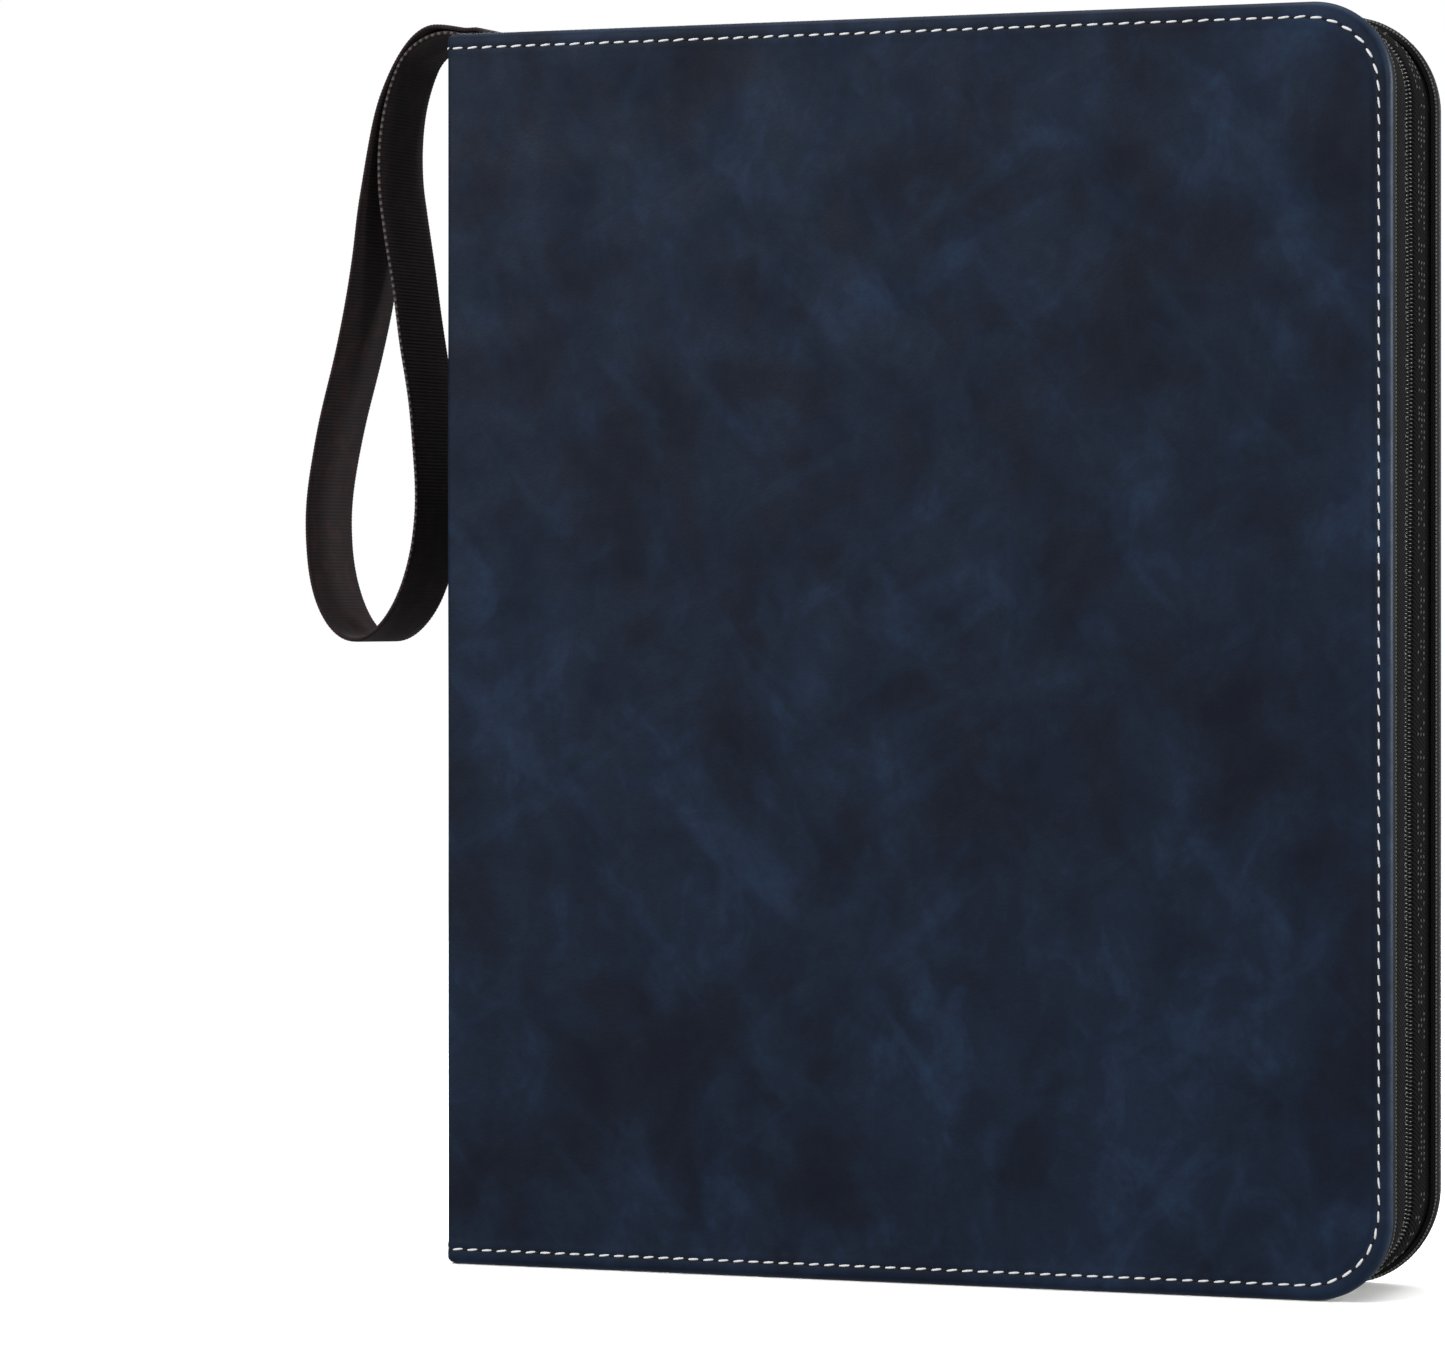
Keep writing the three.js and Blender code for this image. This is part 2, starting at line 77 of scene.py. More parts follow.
def node_range(node, axis):
    """Lowest and highest u, y or z of a CAD node, in binder millimetres."""
    low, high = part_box(node)
    shift = SPINE_X if axis == 0 else 0
    return (low[axis] - shift) / MM, (high[axis] - shift) / MM


# ---- sizes taken from the frame -----------------------------------------------------------------
HEIGHT = node_range("back_leather", 2)[1]
WIDTH = node_range("back_leather", 0)[1]
HALF = node_range("back_leather", 1)[1]
RIM_INNER = node_range("back_leather", 1)[0]
LINING_FACE = node_range("back_lining", 1)[0]
LINING_OUTER = node_range("back_lining", 1)[1]
LINING_START = node_range("back_lining", 0)[0]
WALL_START = node_range("back_zip_tape", 0)[0]
COIL_START = node_range("back_zip_coil", 0)[0]
COIL_INSET = WIDTH - node_range("back_zip_coil", 0)[1]
COIL_DEPTH = HEIGHT - COIL_INSET - node_range("zip_top_stop", 2)[0]
COIL_REACH = node_range("back_zip_coil", 1)[1]
RING_HEIGHTS = [sum(node_range(f"left_half_ring_{i}", 2)) / 2 for i in (1, 2, 3)]
LEAF_NAMES = {s: [f"{s}_leaf_{i:02d}" for i in range(1, 9)] for s in ("left", "right")}

# ---- sizes of the finer shapes ------------------------------------------------------------------
CORNER = 25
LEATHER = 1.2
FOLD_RADIUS = 1.8
FRONT_CORNER = 21
BACK_CORNER = 26
CORNER_BLOCK = 30  # side of the square at each fore-edge corner that the rounding works in
RESHAPED_FROM = 26  # how far from that square's inner corner the reshaping starts, and its way to full
RESHAPED_OVER = 5
EDGE_ROUND = (2.0, 2.6)  # how far the rim's rounding reaches in from the edge, and in depth
STITCH = {"inset": 4.0, "side_inset": 3.1, "pitch": 4.25, "length": 3.3, "width": 0.62, "height": 0.4,
          "slant": 0.09}
BEAD_PITCH = 1.03
RING_RADIUS = 14.5
WIRE_RADIUS = 1.6
RING_U = node_range("left_half_ring_2", 0)[1] - RING_RADIUS - WIRE_RADIUS
STRAP_WIDTH = 25
STRAP_THICKNESS = 1.3
STRAP_RIB = 0.95
STRAP_TURN = 215  # length along the webbing at the bottom of its loop
CARD = (63.5, 88.9)


# ---- shapes -------------------------------------------------------------------------------------
def corner_reach(cos, sin, radius):
    """How far the corner block reaches from its inner corner in a direction, with a radius at its tip."""
    step = CORNER_BLOCK - radius
    middle = step * (cos + sin)
    limit = middle + math.sqrt(middle ** 2 - 2 * step ** 2 + radius ** 2)
    return limit if limit * min(cos, sin) >= step else CORNER_BLOCK / max(cos, sin)


def reshape_corner(u, y, z):
    """Moves a point near a round corner at the fore-edge to fit the radius of the made-up cover."""
    across, up = u - (WIDTH - CORNER_BLOCK), abs(z - HEIGHT / 2) - (HEIGHT / 2 - CORNER_BLOCK)
    reach = math.hypot(across, up)
    if across <= 0 or up <= 0 or reach < RESHAPED_FROM:
        return u, z
    share = min(1, max(0, 0.5 + y / (2 * HALF)))
    radius = FRONT_CORNER + (BACK_CORNER - FRONT_CORNER) * share
    cos, sin = across / reach, up / reach
    change = corner_reach(cos, sin, radius) / corner_reach(cos, sin, CORNER) - 1
    change *= min(1, (reach - RESHAPED_FROM) / RESHAPED_OVER)
    return u + across * change, z + up * change * (1 if z > HEIGHT / 2 else -1)


def to_row(u, y, z):
    u, z = reshape_corner(u, y, z)
    return (SPINE_X + u * MM, y * MM, z * MM)


class Shape:
    """Points and faces, gathered before they become a piece. Each point also keeps where it lies on the flat
    material (place) and how strongly its edge is tinted (edge_tint): on the leather's rim that is wear plus
    a painted highlight, and on a pocket's film it is the opacity of its welded edge."""

    def __init__(self):
        self.points = []
        self.places = []
        self.wears = []
        self.faces = []
        self.finishes = []

    def add(self, points, faces, places=None, wears=None, finish=0):
        first = len(self.points)
        self.points += points
        self.places += places or points
        self.wears += wears or [0.0] * len(points)
        self.faces += [[first + i for i in face] for face in faces]
        self.finishes += [finish] * len(faces)


def make_piece(name, shape, materials, fill_holes=False, merge=True):
    """Turns a shape into a mesh object in the row frame."""
    mesh = bpy.data.meshes.new(name)
    mesh.from_pydata([to_row(*point) for point in shape.points], [], shape.faces)
    place = mesh.attributes.new("place", "FLOAT_VECTOR", "POINT")
    place.data.foreach_set("vector", [value * MM for point in shape.places for value in point])
    edge_tint = mesh.attributes.new("edge_tint", "FLOAT", "POINT")
    edge_tint.data.foreach_set("value", shape.wears)
    mesh.polygons.foreach_set("material_index", shape.finishes)
    body = bmesh.new()
    body.from_mesh(mesh)
    if merge:
        bmesh.ops.remove_doubles(body, verts=body.verts, dist=2e-6)
    if fill_holes:
        bmesh.ops.holes_fill(body, edges=body.edges, sides=0)
    bmesh.ops.recalc_face_normals(body, faces=body.faces)
    for face in body.faces:
        face.smooth = True
    body.to_mesh(mesh)
    body.free()
    for material in materials if isinstance(materials, list) else [materials]:
        mesh.materials.append(material)
    piece = bpy.data.objects.new(name, mesh)
    bpy.context.scene.collection.objects.link(piece)
    return piece


def sharpen(piece, angle=40):
    """Keeps edges that turn by more than the angle crisp, and smooths the others."""
    limit = math.radians(angle)
    body = bmesh.new()
    body.from_mesh(piece.data)
    for edge in body.edges:
        edge.smooth = len(edge.link_faces) == 2 and edge.calc_face_angle(0) < limit
    body.to_mesh(piece.data)
    body.free()
    return piece


def bevelled(piece, width, angle):
    modifier = piece.modifiers.new("rounded_edges", "BEVEL")
    modifier.width = width * MM
    modifier.segments = 2
    modifier.limit_method = "ANGLE"
    modifier.angle_limit = math.radians(angle)
    return piece


def thickened(piece, thickness, offset):
    modifier = piece.modifiers.new("thickness", "SOLIDIFY")
    modifier.thickness = thickness * MM
    modifier.offset = offset


def grid_faces(rows, columns, wrap=False):
    """Quads between rows of points, where each row holds so many columns."""
    last = columns if wrap else columns - 1
    return [
        [r * columns + c, r * columns + (c + 1) % columns,
         (r + 1) * columns + (c + 1) % columns, (r + 1) * columns + c]
        for r in range(rows - 1)
        for c in range(last)
    ]


def spread(low, high, step):
    """Evenly spaced values from low to high, about a step apart."""
    count = max(1, round((high - low) / step))
    return [low + (high - low) * i / count for i in range(count + 1)]


def running_lengths(path):
    """How far along a path each of its points lies."""
    lengths = [0.0]
    for a, b in zip(path, path[1:]):
        lengths.append(lengths[-1] + math.dist(a, b))
    return lengths


class EdgeLine:
    """The line at some inset from a cover's edge: along the bottom, up the fore-edge, back along the top.
    It starts and ends at the same distance from the spine, and it can run over a wider, unfolded sheet."""

    def __init__(self, inset, start, width=WIDTH):
        self.inset = inset
        self.start = start
        self.radius = CORNER - inset
        self.centre = width - CORNER
        self.run = self.centre - start
        self.arc = self.radius * math.pi / 2
        self.side = HEIGHT - 2 * CORNER
        self.length = 2 * (self.run + self.arc) + self.side

    def at(self, length):
        """The point (u, z) and the direction of travel at some length along the line."""
        bends = [(CORNER, -math.pi / 2), (HEIGHT - CORNER, 0)]
        if length <= self.run:
            return (self.start + length, self.inset), (1, 0)
        length -= self.run
        for i, (centre_z, from_angle) in enumerate(bends):
            if length < self.arc:
                angle = from_angle + length / self.radius
                cos, sin = math.cos(angle), math.sin(angle)
                return (self.centre + self.radius * cos, centre_z + self.radius * sin), (-sin, cos)
            length -= self.arc
            if i == 0:
                if length < self.side:
                    return (self.centre + self.radius, CORNER + length), (0, 1)
                length -= self.side
        return (self.centre - length, HEIGHT - self.inset), (-1, 0)

    def beside(self, length, inwards):
        """The point at some length, moved inwards of the line."""
        (u, z), (along_u, along_z) = self.at(length)
        return u - along_z * inwards, z + along_u * inwards


def capsule(shape, at, length, width, height, sides=6, finish=0, place=None):
    """A rounded bead. at(a, b, h) gives the point a along, b across and h above the middle of its foot."""
    stops = (-0.97, -0.7, 0.0, 0.7, 0.97)
    points = [at(-length / 2, 0, 0)]
    for stop in stops:
        size = (1 - abs(stop) ** 3) ** 0.5
        for i in range(sides):
            angle = 2 * math.pi * i / sides
            across = size * width / 2 * math.cos(angle)
            points.append(at(stop * length / 2, across, size * height * math.sin(angle)))
    points.append(at(length / 2, 0, 0))
    rings = [[i + 1 for i in face] for face in grid_faces(len(stops), sides, wrap=True)]
    end = len(points) - 1
    tips = [[0, 1 + (i + 1) % sides, 1 + i] for i in range(sides)]
    tips += [[end, end - sides + i, end - sides + (i + 1) % sides] for i in range(sides)]
    shape.add(points, rings + tips, [place] * len(points) if place else None, finish=finish)


# ---- materials ----------------------------------------------------------------------------------
def linear(hex_colour):
    """A colour written as rrggbb, in the linear numbers that shaders take."""
    parts = [int(hex_colour[i:i + 2], 16) / 255 for i in (0, 2, 4)]
    return tuple(p / 12.92 if p < 0.04045 else ((p + 0.055) / 1.055) ** 2.4 for p in parts) + (1.0,)


class Finish:
    """A material built node by node. A value that is another node's output is linked, any other is set."""

    def __init__(self, name, on_pieces=True):
        self.material = bpy.data.materials.new(name)
        self.material.use_nodes = True
        self.tree = self.material.node_tree
        self.shader = self.tree.nodes["Principled BSDF"]
        if on_pieces:
            self.place = self.add("Attribute", output="Vector", settings={"attribute_name": "place"})
        else:
            self.place = self.add("TexCoord", output="Object")

    def feed(self, socket, value):
        if isinstance(value, bpy.types.NodeSocket):
            self.tree.links.new(value, socket)
        else:
            socket.default_value = value

    def add(self, kind, output=0, settings=None, **values):
        node = self.tree.nodes.new("ShaderNode" + kind)
        for key, value in (settings or {}).items():
            setattr(node, key, value)
        for key, value in values.items():
            self.feed(node.inputs[key.replace("_", " ")], value)
        return node.outputs[output]

    def attribute(self, name):
        return self.add("Attribute", output="Fac", settings={"attribute_name": name})

    def math(self, operation, *values):
        node = self.tree.nodes.new("ShaderNodeMath")
        node.operation = operation
        for socket, value in zip(node.inputs, values):
            self.feed(socket, value)
        return node.outputs[0]

    def mix(self, share, first, second):
        node = self.tree.nodes.new("ShaderNodeMix")
        node.data_type = "RGBA"
        self.feed(node.inputs[0], share)
        self.feed(node.inputs[6], linear(first) if isinstance(first, str) else first)
        self.feed(node.inputs[7], linear(second) if isinstance(second, str) else second)
        return node.outputs[2]

    def range(self, value, low, high, to_low=0.0, to_high=1.0):
        return self.add("MapRange", Value=value, From_Min=low, From_Max=high, To_Min=to_low, To_Max=to_high)

    def stretch(self, scale):
        return self.add("Mapping", Vector=self.place, Scale=scale)

    def slanted(self, turn, longer):
        """Coordinates for marks drawn out along a slant across the cover."""
        return self.add("Mapping", settings={"vector_type": "TEXTURE"}, Vector=self.place,
                        Rotation=(0, math.radians(turn), 0), Scale=(1, 1, longer))

    def noise(self, scale, detail=3.0, roughness=0.5, place=None, distortion=0.0):
        return self.add("TexNoise", Vector=place or self.place, Scale=scale, Detail=detail,
                        Roughness=roughness, Distortion=distortion)

    def cells(self, scale):
        return self.add("TexVoronoi", output="Distance", settings={"feature": "SMOOTH_F1"},
                        Vector=self.place, Scale=scale)

    def axis(self, name):
        return self.add("SeparateXYZ", output="XYZ".index(name), Vector=self.place)

    def ripple(self, value, pitch):
        """A smooth wave from 0 to 1 along a value in metres, one wave for each pitch in millimetres."""
        turned = self.math("MULTIPLY", value, 2 * math.pi / (pitch * MM))
        return self.math("MULTIPLY_ADD", self.math("SINE", turned), 0.5, 0.5)

    def bump(self, height, distance, strength=1.0, normal=None):
        values = {"Height": height, "Distance": distance * MM, "Strength": strength}
        if normal:
            values["Normal"] = normal
        return self.add("Bump", **values)

    def set(self, **values):
        for key, value in values.items():
            self.feed(self.shader.inputs[key.replace("_", " ")], value)
        return self.material


def make_leather():
    """Navy waxed leather with soft clouds, faint scuffs, and a paler blue edge that is partly wear and
    partly a painted highlight.
    """
    f = Finish("navy_leather")
    clouds = f.noise(34, 6, 0.6, f.stretch((1, 1, 0.85)), 0.3)
    drifts = f.noise(12, 2, 0.5)
    smudges = f.noise(75, 5, 0.62, f.stretch((1.0, 1.0, 0.7)), 0.8)
    rising = f.noise(60, 4, 0.55, f.slanted(40, 4), 0.4)
    falling = f.noise(48, 4, 0.55, f.slanted(-55, 4), 0.4)
    fine = f.noise(420, 3, 0.6)
    depth = f.math("MULTIPLY_ADD", drifts, 0.6, clouds)
    body = f.mix(f.range(depth, 0.62, 0.98), "081122", "16253b")
    high = f.range(depth, 0.7, 0.96)
    smudged = f.math("MULTIPLY", f.range(smudges, 0.48, 0.72, 0, 0.6), high)
    body = f.mix(smudged, body, "243a57")
    wisps = f.math("MAXIMUM", f.range(rising, 0.56, 0.74), f.range(falling, 0.57, 0.75))
    body = f.mix(f.math("MULTIPLY", wisps, f.range(depth, 0.6, 0.9, 0.12, 0.5)), body, "243a57")
    body = f.mix(f.range(fine, 0.35, 0.7, 0, 0.25), body, "0a0f1a")
    # The paler blue of the rim is partly wear and partly a painted highlight of light catching the rounded
    # edge.
    worn_and_highlit = f.math("MULTIPLY", f.attribute("edge_tint"), f.range(f.noise(220, 4, 0.65), 0.3, 0.62, 0.45, 1.0))
    body = f.mix(worn_and_highlit, body, "34465e")
    grain = f.cells(1500)
    pores = f.noise(900, 4, 0.6)
    creases = f.noise(75, 5, 0.7, f.stretch((1, 1, 0.6)), 1.2)
    normal = f.bump(grain, 0.05, 0.45)
    normal = f.bump(pores, 0.06, 0.35, normal)
    normal = f.bump(creases, 0.25, 0.22, normal)
    rough = f.range(f.noise(55, 4, 0.6), 0.3, 0.7, 0.52, 0.68)
    rough = f.math("MULTIPLY_ADD", worn_and_highlit, -0.24, rough)
    return f.set(Base_Color=body, Roughness=rough, Normal=normal, Specular_IOR_Level=0.16)


def make_thread(name, colour, shade):
    """Sewing thread, twisted from fine yarns."""
    f = Finish(name)
    twist = f.ripple(f.math("ADD", f.axis("X"), f.math("ADD", f.axis("Y"), f.axis("Z"))), 0.55)
    fuzz = f.noise(2500, 2, 0.6)
    colour = f.mix(f.range(fuzz, 0.3, 0.7, 0, 0.4), colour, shade)
    return f.set(Base_Color=colour, Roughness=0.6, Normal=f.bump(twist, 0.08, 0.6), Sheen_Weight=0.2)


def make_hole_shade():
    """Painted shade of the needle hole between two stitches: a near-black mark standing in for the shade
    inside the hole.
    """
    f = Finish("needle_hole_shade")
    colour = f.mix(f.noise(900, 2), "07080b", "10131a")
    return f.set(Base_Color=colour, Roughness=0.9)


def make_binding(name, light, dark):
    """Close-woven black edging tape; along is the place's x and across is its y."""
    f = Finish(name)
    ribs = f.ripple(f.axis("X"), 0.7)
    across = f.ripple(f.axis("Y"), 0.56)
    weave = f.math("MULTIPLY", ribs, across)
    colour = f.mix(f.range(weave, 0.0, 1.0, 0, 0.5), dark, light)
    colour = f.mix(f.range(f.noise(300, 3), 0.4, 0.7, 0, 0.3), colour, "121212")
    return f.set(Base_Color=colour, Roughness=0.75, Normal=f.bump(weave, 0.15, 0.8), Specular_IOR_Level=0.3)


def make_tape(name, light, dark):
    """Zip tape woven in slanting ridges; along is the place's x and across is its y."""
    f = Finish(name)
    across = f.axis("Y")
    zigzag = f.math("PINGPONG", f.math("ADD", across, -1.0 * MM), 17.0 * MM)
    slanted = f.math("MULTIPLY_ADD", zigzag, 0.5, f.axis("X"))
    twill = f.ripple(slanted, 1.25)
    yarns = f.ripple(across, 0.5)
    weave = f.math("MULTIPLY_ADD", yarns, 0.3, twill)
    lift = f.range(f.noise(260, 3), 0.3, 0.7, 0.4, 1.0)
    colour = f.mix(f.math("MULTIPLY", f.range(twill, 0.35, 1.0), lift), dark, light)
    return f.set(Base_Color=colour, Roughness=0.85, Normal=f.bump(weave, 0.3, 0.9), Specular_IOR_Level=0.12)


def make_coil():
    """Shiny black nylon of the zip's coils."""
    f = Finish("coil_nylon")
    colour = f.mix(f.range(f.noise(500, 2), 0.35, 0.7), "101010", "2a2a29")
    rough = f.range(f.noise(900, 2), 0.3, 0.7, 0.22, 0.4)
    return f.set(Base_Color=colour, Roughness=rough, Specular_IOR_Level=0.7)


def make_lining():
    """Black brushed nylon lining with a fine plain weave."""
    f = Finish("black_lining")
    over = f.ripple(f.axis("X"), 0.6)
    under = f.ripple(f.axis("Z"), 0.6)
    weave = f.math("MULTIPLY", over, under)
    colour = f.mix(f.range(f.noise(28, 4, 0.6), 0.3, 0.7), "101012", "1a1a1d")
    colour = f.mix(f.math("MULTIPLY", weave, 0.35), colour, "2a2a2e")
    return f.set(Base_Color=colour, Roughness=0.85, Normal=f.bump(weave, 0.08, 0.5), Sheen_Weight=0.15)


def make_board():
    """Dark board with pressed fibres."""
    f = Finish("binder_board", on_pieces=False)
    fibres = f.noise(700, 5, 0.7, f.stretch((1, 1, 3)))
    colour = f.mix(f.range(fibres, 0.3, 0.7), "1f1d1c", "2e2b29")
    return f.set(Base_Color=colour, Roughness=0.92, Normal=f.bump(fibres, 0.1, 0.5))


def make_webbing():
    """Ribbed brown-black webbing; along is the place's x and across is its y."""
    f = Finish("ribbed_webbing")
    along = f.axis("X")
    across = f.axis("Y")
    ribs = f.ripple(along, STRAP_RIB)
    yarns = f.ripple(across, 0.55)
    mottle = f.noise(160, 4, 0.65)
    colour = f.mix(ribs, "140d0e", "2f2225")
    colour = f.mix(f.range(mottle, 0.5, 0.72, 0, 0.6), colour, "472a2e")
    near_edge = f.math("LESS_THAN", across, (0.2 - STRAP_WIDTH / 2) * MM)
    dashes = f.math("GREATER_THAN", f.ripple(along, 1.9), 0.55)
    returning = f.range(along, STRAP_TURN * MM, (STRAP_TURN + 30) * MM)
    marks = f.math("MULTIPLY", f.math("MULTIPLY", near_edge, dashes), returning)
    colour = f.mix(f.math("MULTIPLY", marks, 0.7), colour, "6f6a68")
    normal = f.bump(f.math("MULTIPLY_ADD", yarns, 0.5, f.math("MULTIPLY", mottle, 0.6)), 0.1, 0.6)
    return f.set(Base_Color=colour, Roughness=0.85, Normal=normal, Specular_IOR_Level=0.3, Sheen_Weight=0.05)


def make_metal(name, light, dark, rough, on_pieces=True):
    """Plated metal with a faint haze and hairline scratches."""
    f = Finish(name, on_pieces)
    haze = f.noise(60, 4, 0.6)
    scratches = f.noise(900, 2, 0.5, f.stretch((1, 1, 0.06)))
    colour = f.mix(f.range(haze, 0.3, 0.7), light, dark)
    roughness = f.range(haze, 0.3, 0.7, rough * 0.8, rough * 1.3)
    return f.set(Base_Color=colour, Metallic=1.0, Roughness=roughness, Normal=f.bump(scratches, 0.01, 0.3))


def make_rubber():
    """Matt black rubber with a fine moulded texture."""
    f = Finish("pull_rubber")
    grain = f.noise(2200, 3, 0.6)
    colour = f.mix(f.range(f.noise(200, 3), 0.35, 0.7), "161617", "242425")
    return f.set(Base_Color=colour, Roughness=0.62, Normal=f.bump(grain, 0.05, 0.5))


def make_leaf():
    """Dark plastic backing sheet of a pocket leaf, slightly cloudy."""
    f = Finish("leaf_backing")
    cloud = f.noise(45, 4, 0.6)
    colour = f.mix(f.range(cloud, 0.3, 0.7), "262425", "383436")
    rough = f.range(f.noise(150, 3), 0.3, 0.7, 0.28, 0.45)
    return f.set(Base_Color=colour, Roughness=rough, Normal=f.bump(f.noise(35, 3), 0.4, 0.25))


def make_film():
    """Clear film of the pockets: mostly see-through, with soft gloss and a few hazy patches."""
    f = Finish("clear_film")
    haze = f.range(f.noise(24, 4, 0.6, distortion=0.6), 0.5, 0.8, 0.03, 0.12)
    alpha = f.math("MAXIMUM", haze, f.attribute("edge_tint"))
    return f.set(Base_Color=linear("cfd3d6"), Roughness=0.12, Alpha=alpha,
                 Normal=f.bump(f.noise(30, 3), 0.5, 0.3))


def make_weld():
    """The pale, pressed dots of the pockets' welds."""
    f = Finish("weld_dots")
    colour = f.mix(f.noise(600, 2), "5d595b", "8a8688")
    return f.set(Base_Color=colour, Roughness=0.3)


def make_card():
    """Teal card face: a pale rounded border line, and a plain ring with a dot in it. The place's x and y
    are measured from the card's middle."""
    f = Finish("card_face")
    corner = 3.5

    def beyond(axis, half):
        outside = f.math("SUBTRACT", f.math("ABSOLUTE", f.axis(axis)), (half - corner) * MM)
        return f.math("MAXIMUM", outside, 0.0)

    def distance(u, v):
        return f.math("SQRT", f.math("ADD", f.math("MULTIPLY", u, u), f.math("MULTIPLY", v, v)))

    reach = distance(beyond("X", CARD[0] / 2), beyond("Y", CARD[1] / 2))
    border = f.math("COMPARE", f.math("SUBTRACT", corner * MM, reach), 1.3 * MM, 0.55 * MM)
    radius = distance(f.axis("X"), f.axis("Y"))
    ring = f.math("COMPARE", radius, 10 * MM, 0.7 * MM)
    dot = f.math("LESS_THAN", radius, 3 * MM)
    colour = f.mix(f.range(f.noise(60, 3), 0.3, 0.7), "2a90b6", "3099c0")
    colour = f.mix(f.math("MULTIPLY", border, 0.8), colour, "8fdcf0")
    colour = f.mix(f.math("MAXIMUM", ring, dot), colour, "f2fafc")
    return f.set(Base_Color=colour, Roughness=0.35, Coat_Weight=0.5, Coat_Roughness=0.08)


def make_floor():
    """A plain pale studio floor."""
    f = Finish("pale_floor", on_pieces=False)
    colour = f.mix(f.noise(3, 2), "f4f4f3", "fafaf9")
    return f.set(Base_Color=colour, Roughness=0.7)


# ---- the leather case ---------------------------------------------------------------------------
def rim_profile():
    """(inset, depth, edge tint) from the flat of a cover out over its rounded, turned-in edge. The edge tint
    is wear plus a painted highlight.
    """
    flat = [(inset, 0, 0) for inset in (CORNER, 19, 14, 10, 7.5, 6)]
    groove = [(5.0, 0.03, 0), (4.4, 0.12, 0.02), (4.0, 0.18, 0.04), (3.6, 0.13, 0.08), (3.1, 0.05, 0.12)]
    reach, drop = EDGE_ROUND
    rounding = []
    for step in range(1, 11):
        angle = math.pi / 2 * step / 10
        depth = 0.05 + (drop - 0.05) * (1 - math.cos(angle))
        # The tint peaks at the outermost curve of the rounding, where light catches the edge: a painted
        # highlight on top of the wear.
        rounding.append((reach * (1 - math.sin(angle)), depth, min(1, max(0.12, (angle - 0.25) / 0.6))))
    tuck = [(0.25, HALF - RIM_INNER, 0.1), (LEATHER, HALF - RIM_INNER, 0), (LEATHER + 0.05, 2.6, 0)]
    return flat + groove + rounding + tuck


def sheet_columns(flat_length):
    """Stops along the girth: fine where the leather bends round the fold."""
    flat = HALF - FOLD_RADIUS
    turn = FOLD_RADIUS * math.pi / 2
    stops = [0, 8, 15, 19, 21] + spread(flat, flat + turn, 0.4)
    return stops + spread(flat + turn + 4, flat_length - CORNER, 9)


def panel(columns, width, profile, under, locate, ripple=None):
    """A cover-shaped sheet with thickness. columns are stops from the spine to the start of the round
    corners; profile and under are its outer and inner outlines, each from the middle to the edge."""
    shape = Shape()
    rows = spread(CORNER, HEIGHT - CORNER, 9)
    centre = width - CORNER
    turns = [math.pi / 2 * i / 28 for i in range(29)]
    walk = [((g, 0), (0, 1)) for g in columns]
    walk += [((centre + CORNER * math.sin(a), CORNER - CORNER * math.cos(a)), (-math.sin(a), math.cos(a)))
             for a in turns[1:]]
    walk += [((width, z), (-1, 0)) for z in rows[1:]]
    top = HEIGHT - CORNER
    walk += [((centre + CORNER * math.cos(a), top + CORNER * math.sin(a)), (-math.cos(a), -math.sin(a)))
             for a in turns[1:]]
    walk += [((g, HEIGHT), (0, -1)) for g in reversed(columns[:-1])]

    def surface(g, z, depth, inset):
        wave = ripple(g, z) if ripple and inset >= 6 and depth < LEATHER else 0
        return locate(g, z, depth + wave)

    outline = profile + list(reversed(under))
    points, places, wears = [], [], []
    for inset, depth, edge_tint in outline:
        for (g, z), (in_g, in_z) in walk:
            flat_g, flat_z = g + in_g * inset, z + in_z * inset
            points.append(surface(flat_g, flat_z, depth, inset))
            places.append((flat_g, depth, flat_z))
            # The rim along the fore-edge, which faces the light, gets more of the tint than the top and
            # bottom edges: a painted highlight.
            wears.append(edge_tint * (0.25 + 0.55 * abs(in_g)))
    shape.add(points, grid_faces(len(outline), len(walk)), places, wears)
    for depth in (profile[0][1], under[0][1]):
        middle = [(g, z) for z in rows for g in columns]
        points = [surface(g, z, depth, CORNER) for g, z in middle]
        places = [(g, depth, z) for g, z in middle]
        shape.add(points, grid_faces(len(rows), len(columns)), places)
    return shape


def round_the_fold(side):
    """Where a point of the flat leather goes: half the spine, round the fold, then over the cover."""
    flat = HALF - FOLD_RADIUS
    turn = FOLD_RADIUS * math.pi / 2

    def locate(g, z, depth):
        if g < flat:
            return depth, side * g, z
        if g < flat + turn:
            angle = (g - flat) / FOLD_RADIUS
            reach = FOLD_RADIUS - depth
            return FOLD_RADIUS - reach * math.cos(angle), side * (flat + reach * math.sin(angle)), z
        return FOLD_RADIUS + g - flat - turn, side * (HALF - depth), z

    return locate


GIRTH = HALF - FOLD_RADIUS + FOLD_RADIUS * math.pi / 2 + WIDTH - FOLD_RADIUS


def leather_wave(g, z):
    """The soft unevenness of the covered board, in depth."""
    return 0.14 + 0.14 * noise.noise(Vector((g / 55, z / 60, 3.1)))


def bend_at_fold(piece, side, at_spine, at_cover):
    """Bakes the piece's transform in place. The ends at the fold between the spine and one cover, from one
    (u, y) to the other, are worked out, but nothing bends the piece.
    """
    spine_end, cover_end = (to_row(u, side * y, 0) for u, y in (at_spine, at_cover))
    if side < 0:
        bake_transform(piece)
        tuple(spine_end)
        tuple(cover_end)
    else:
        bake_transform(piece)
        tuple(cover_end)
        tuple(spine_end)


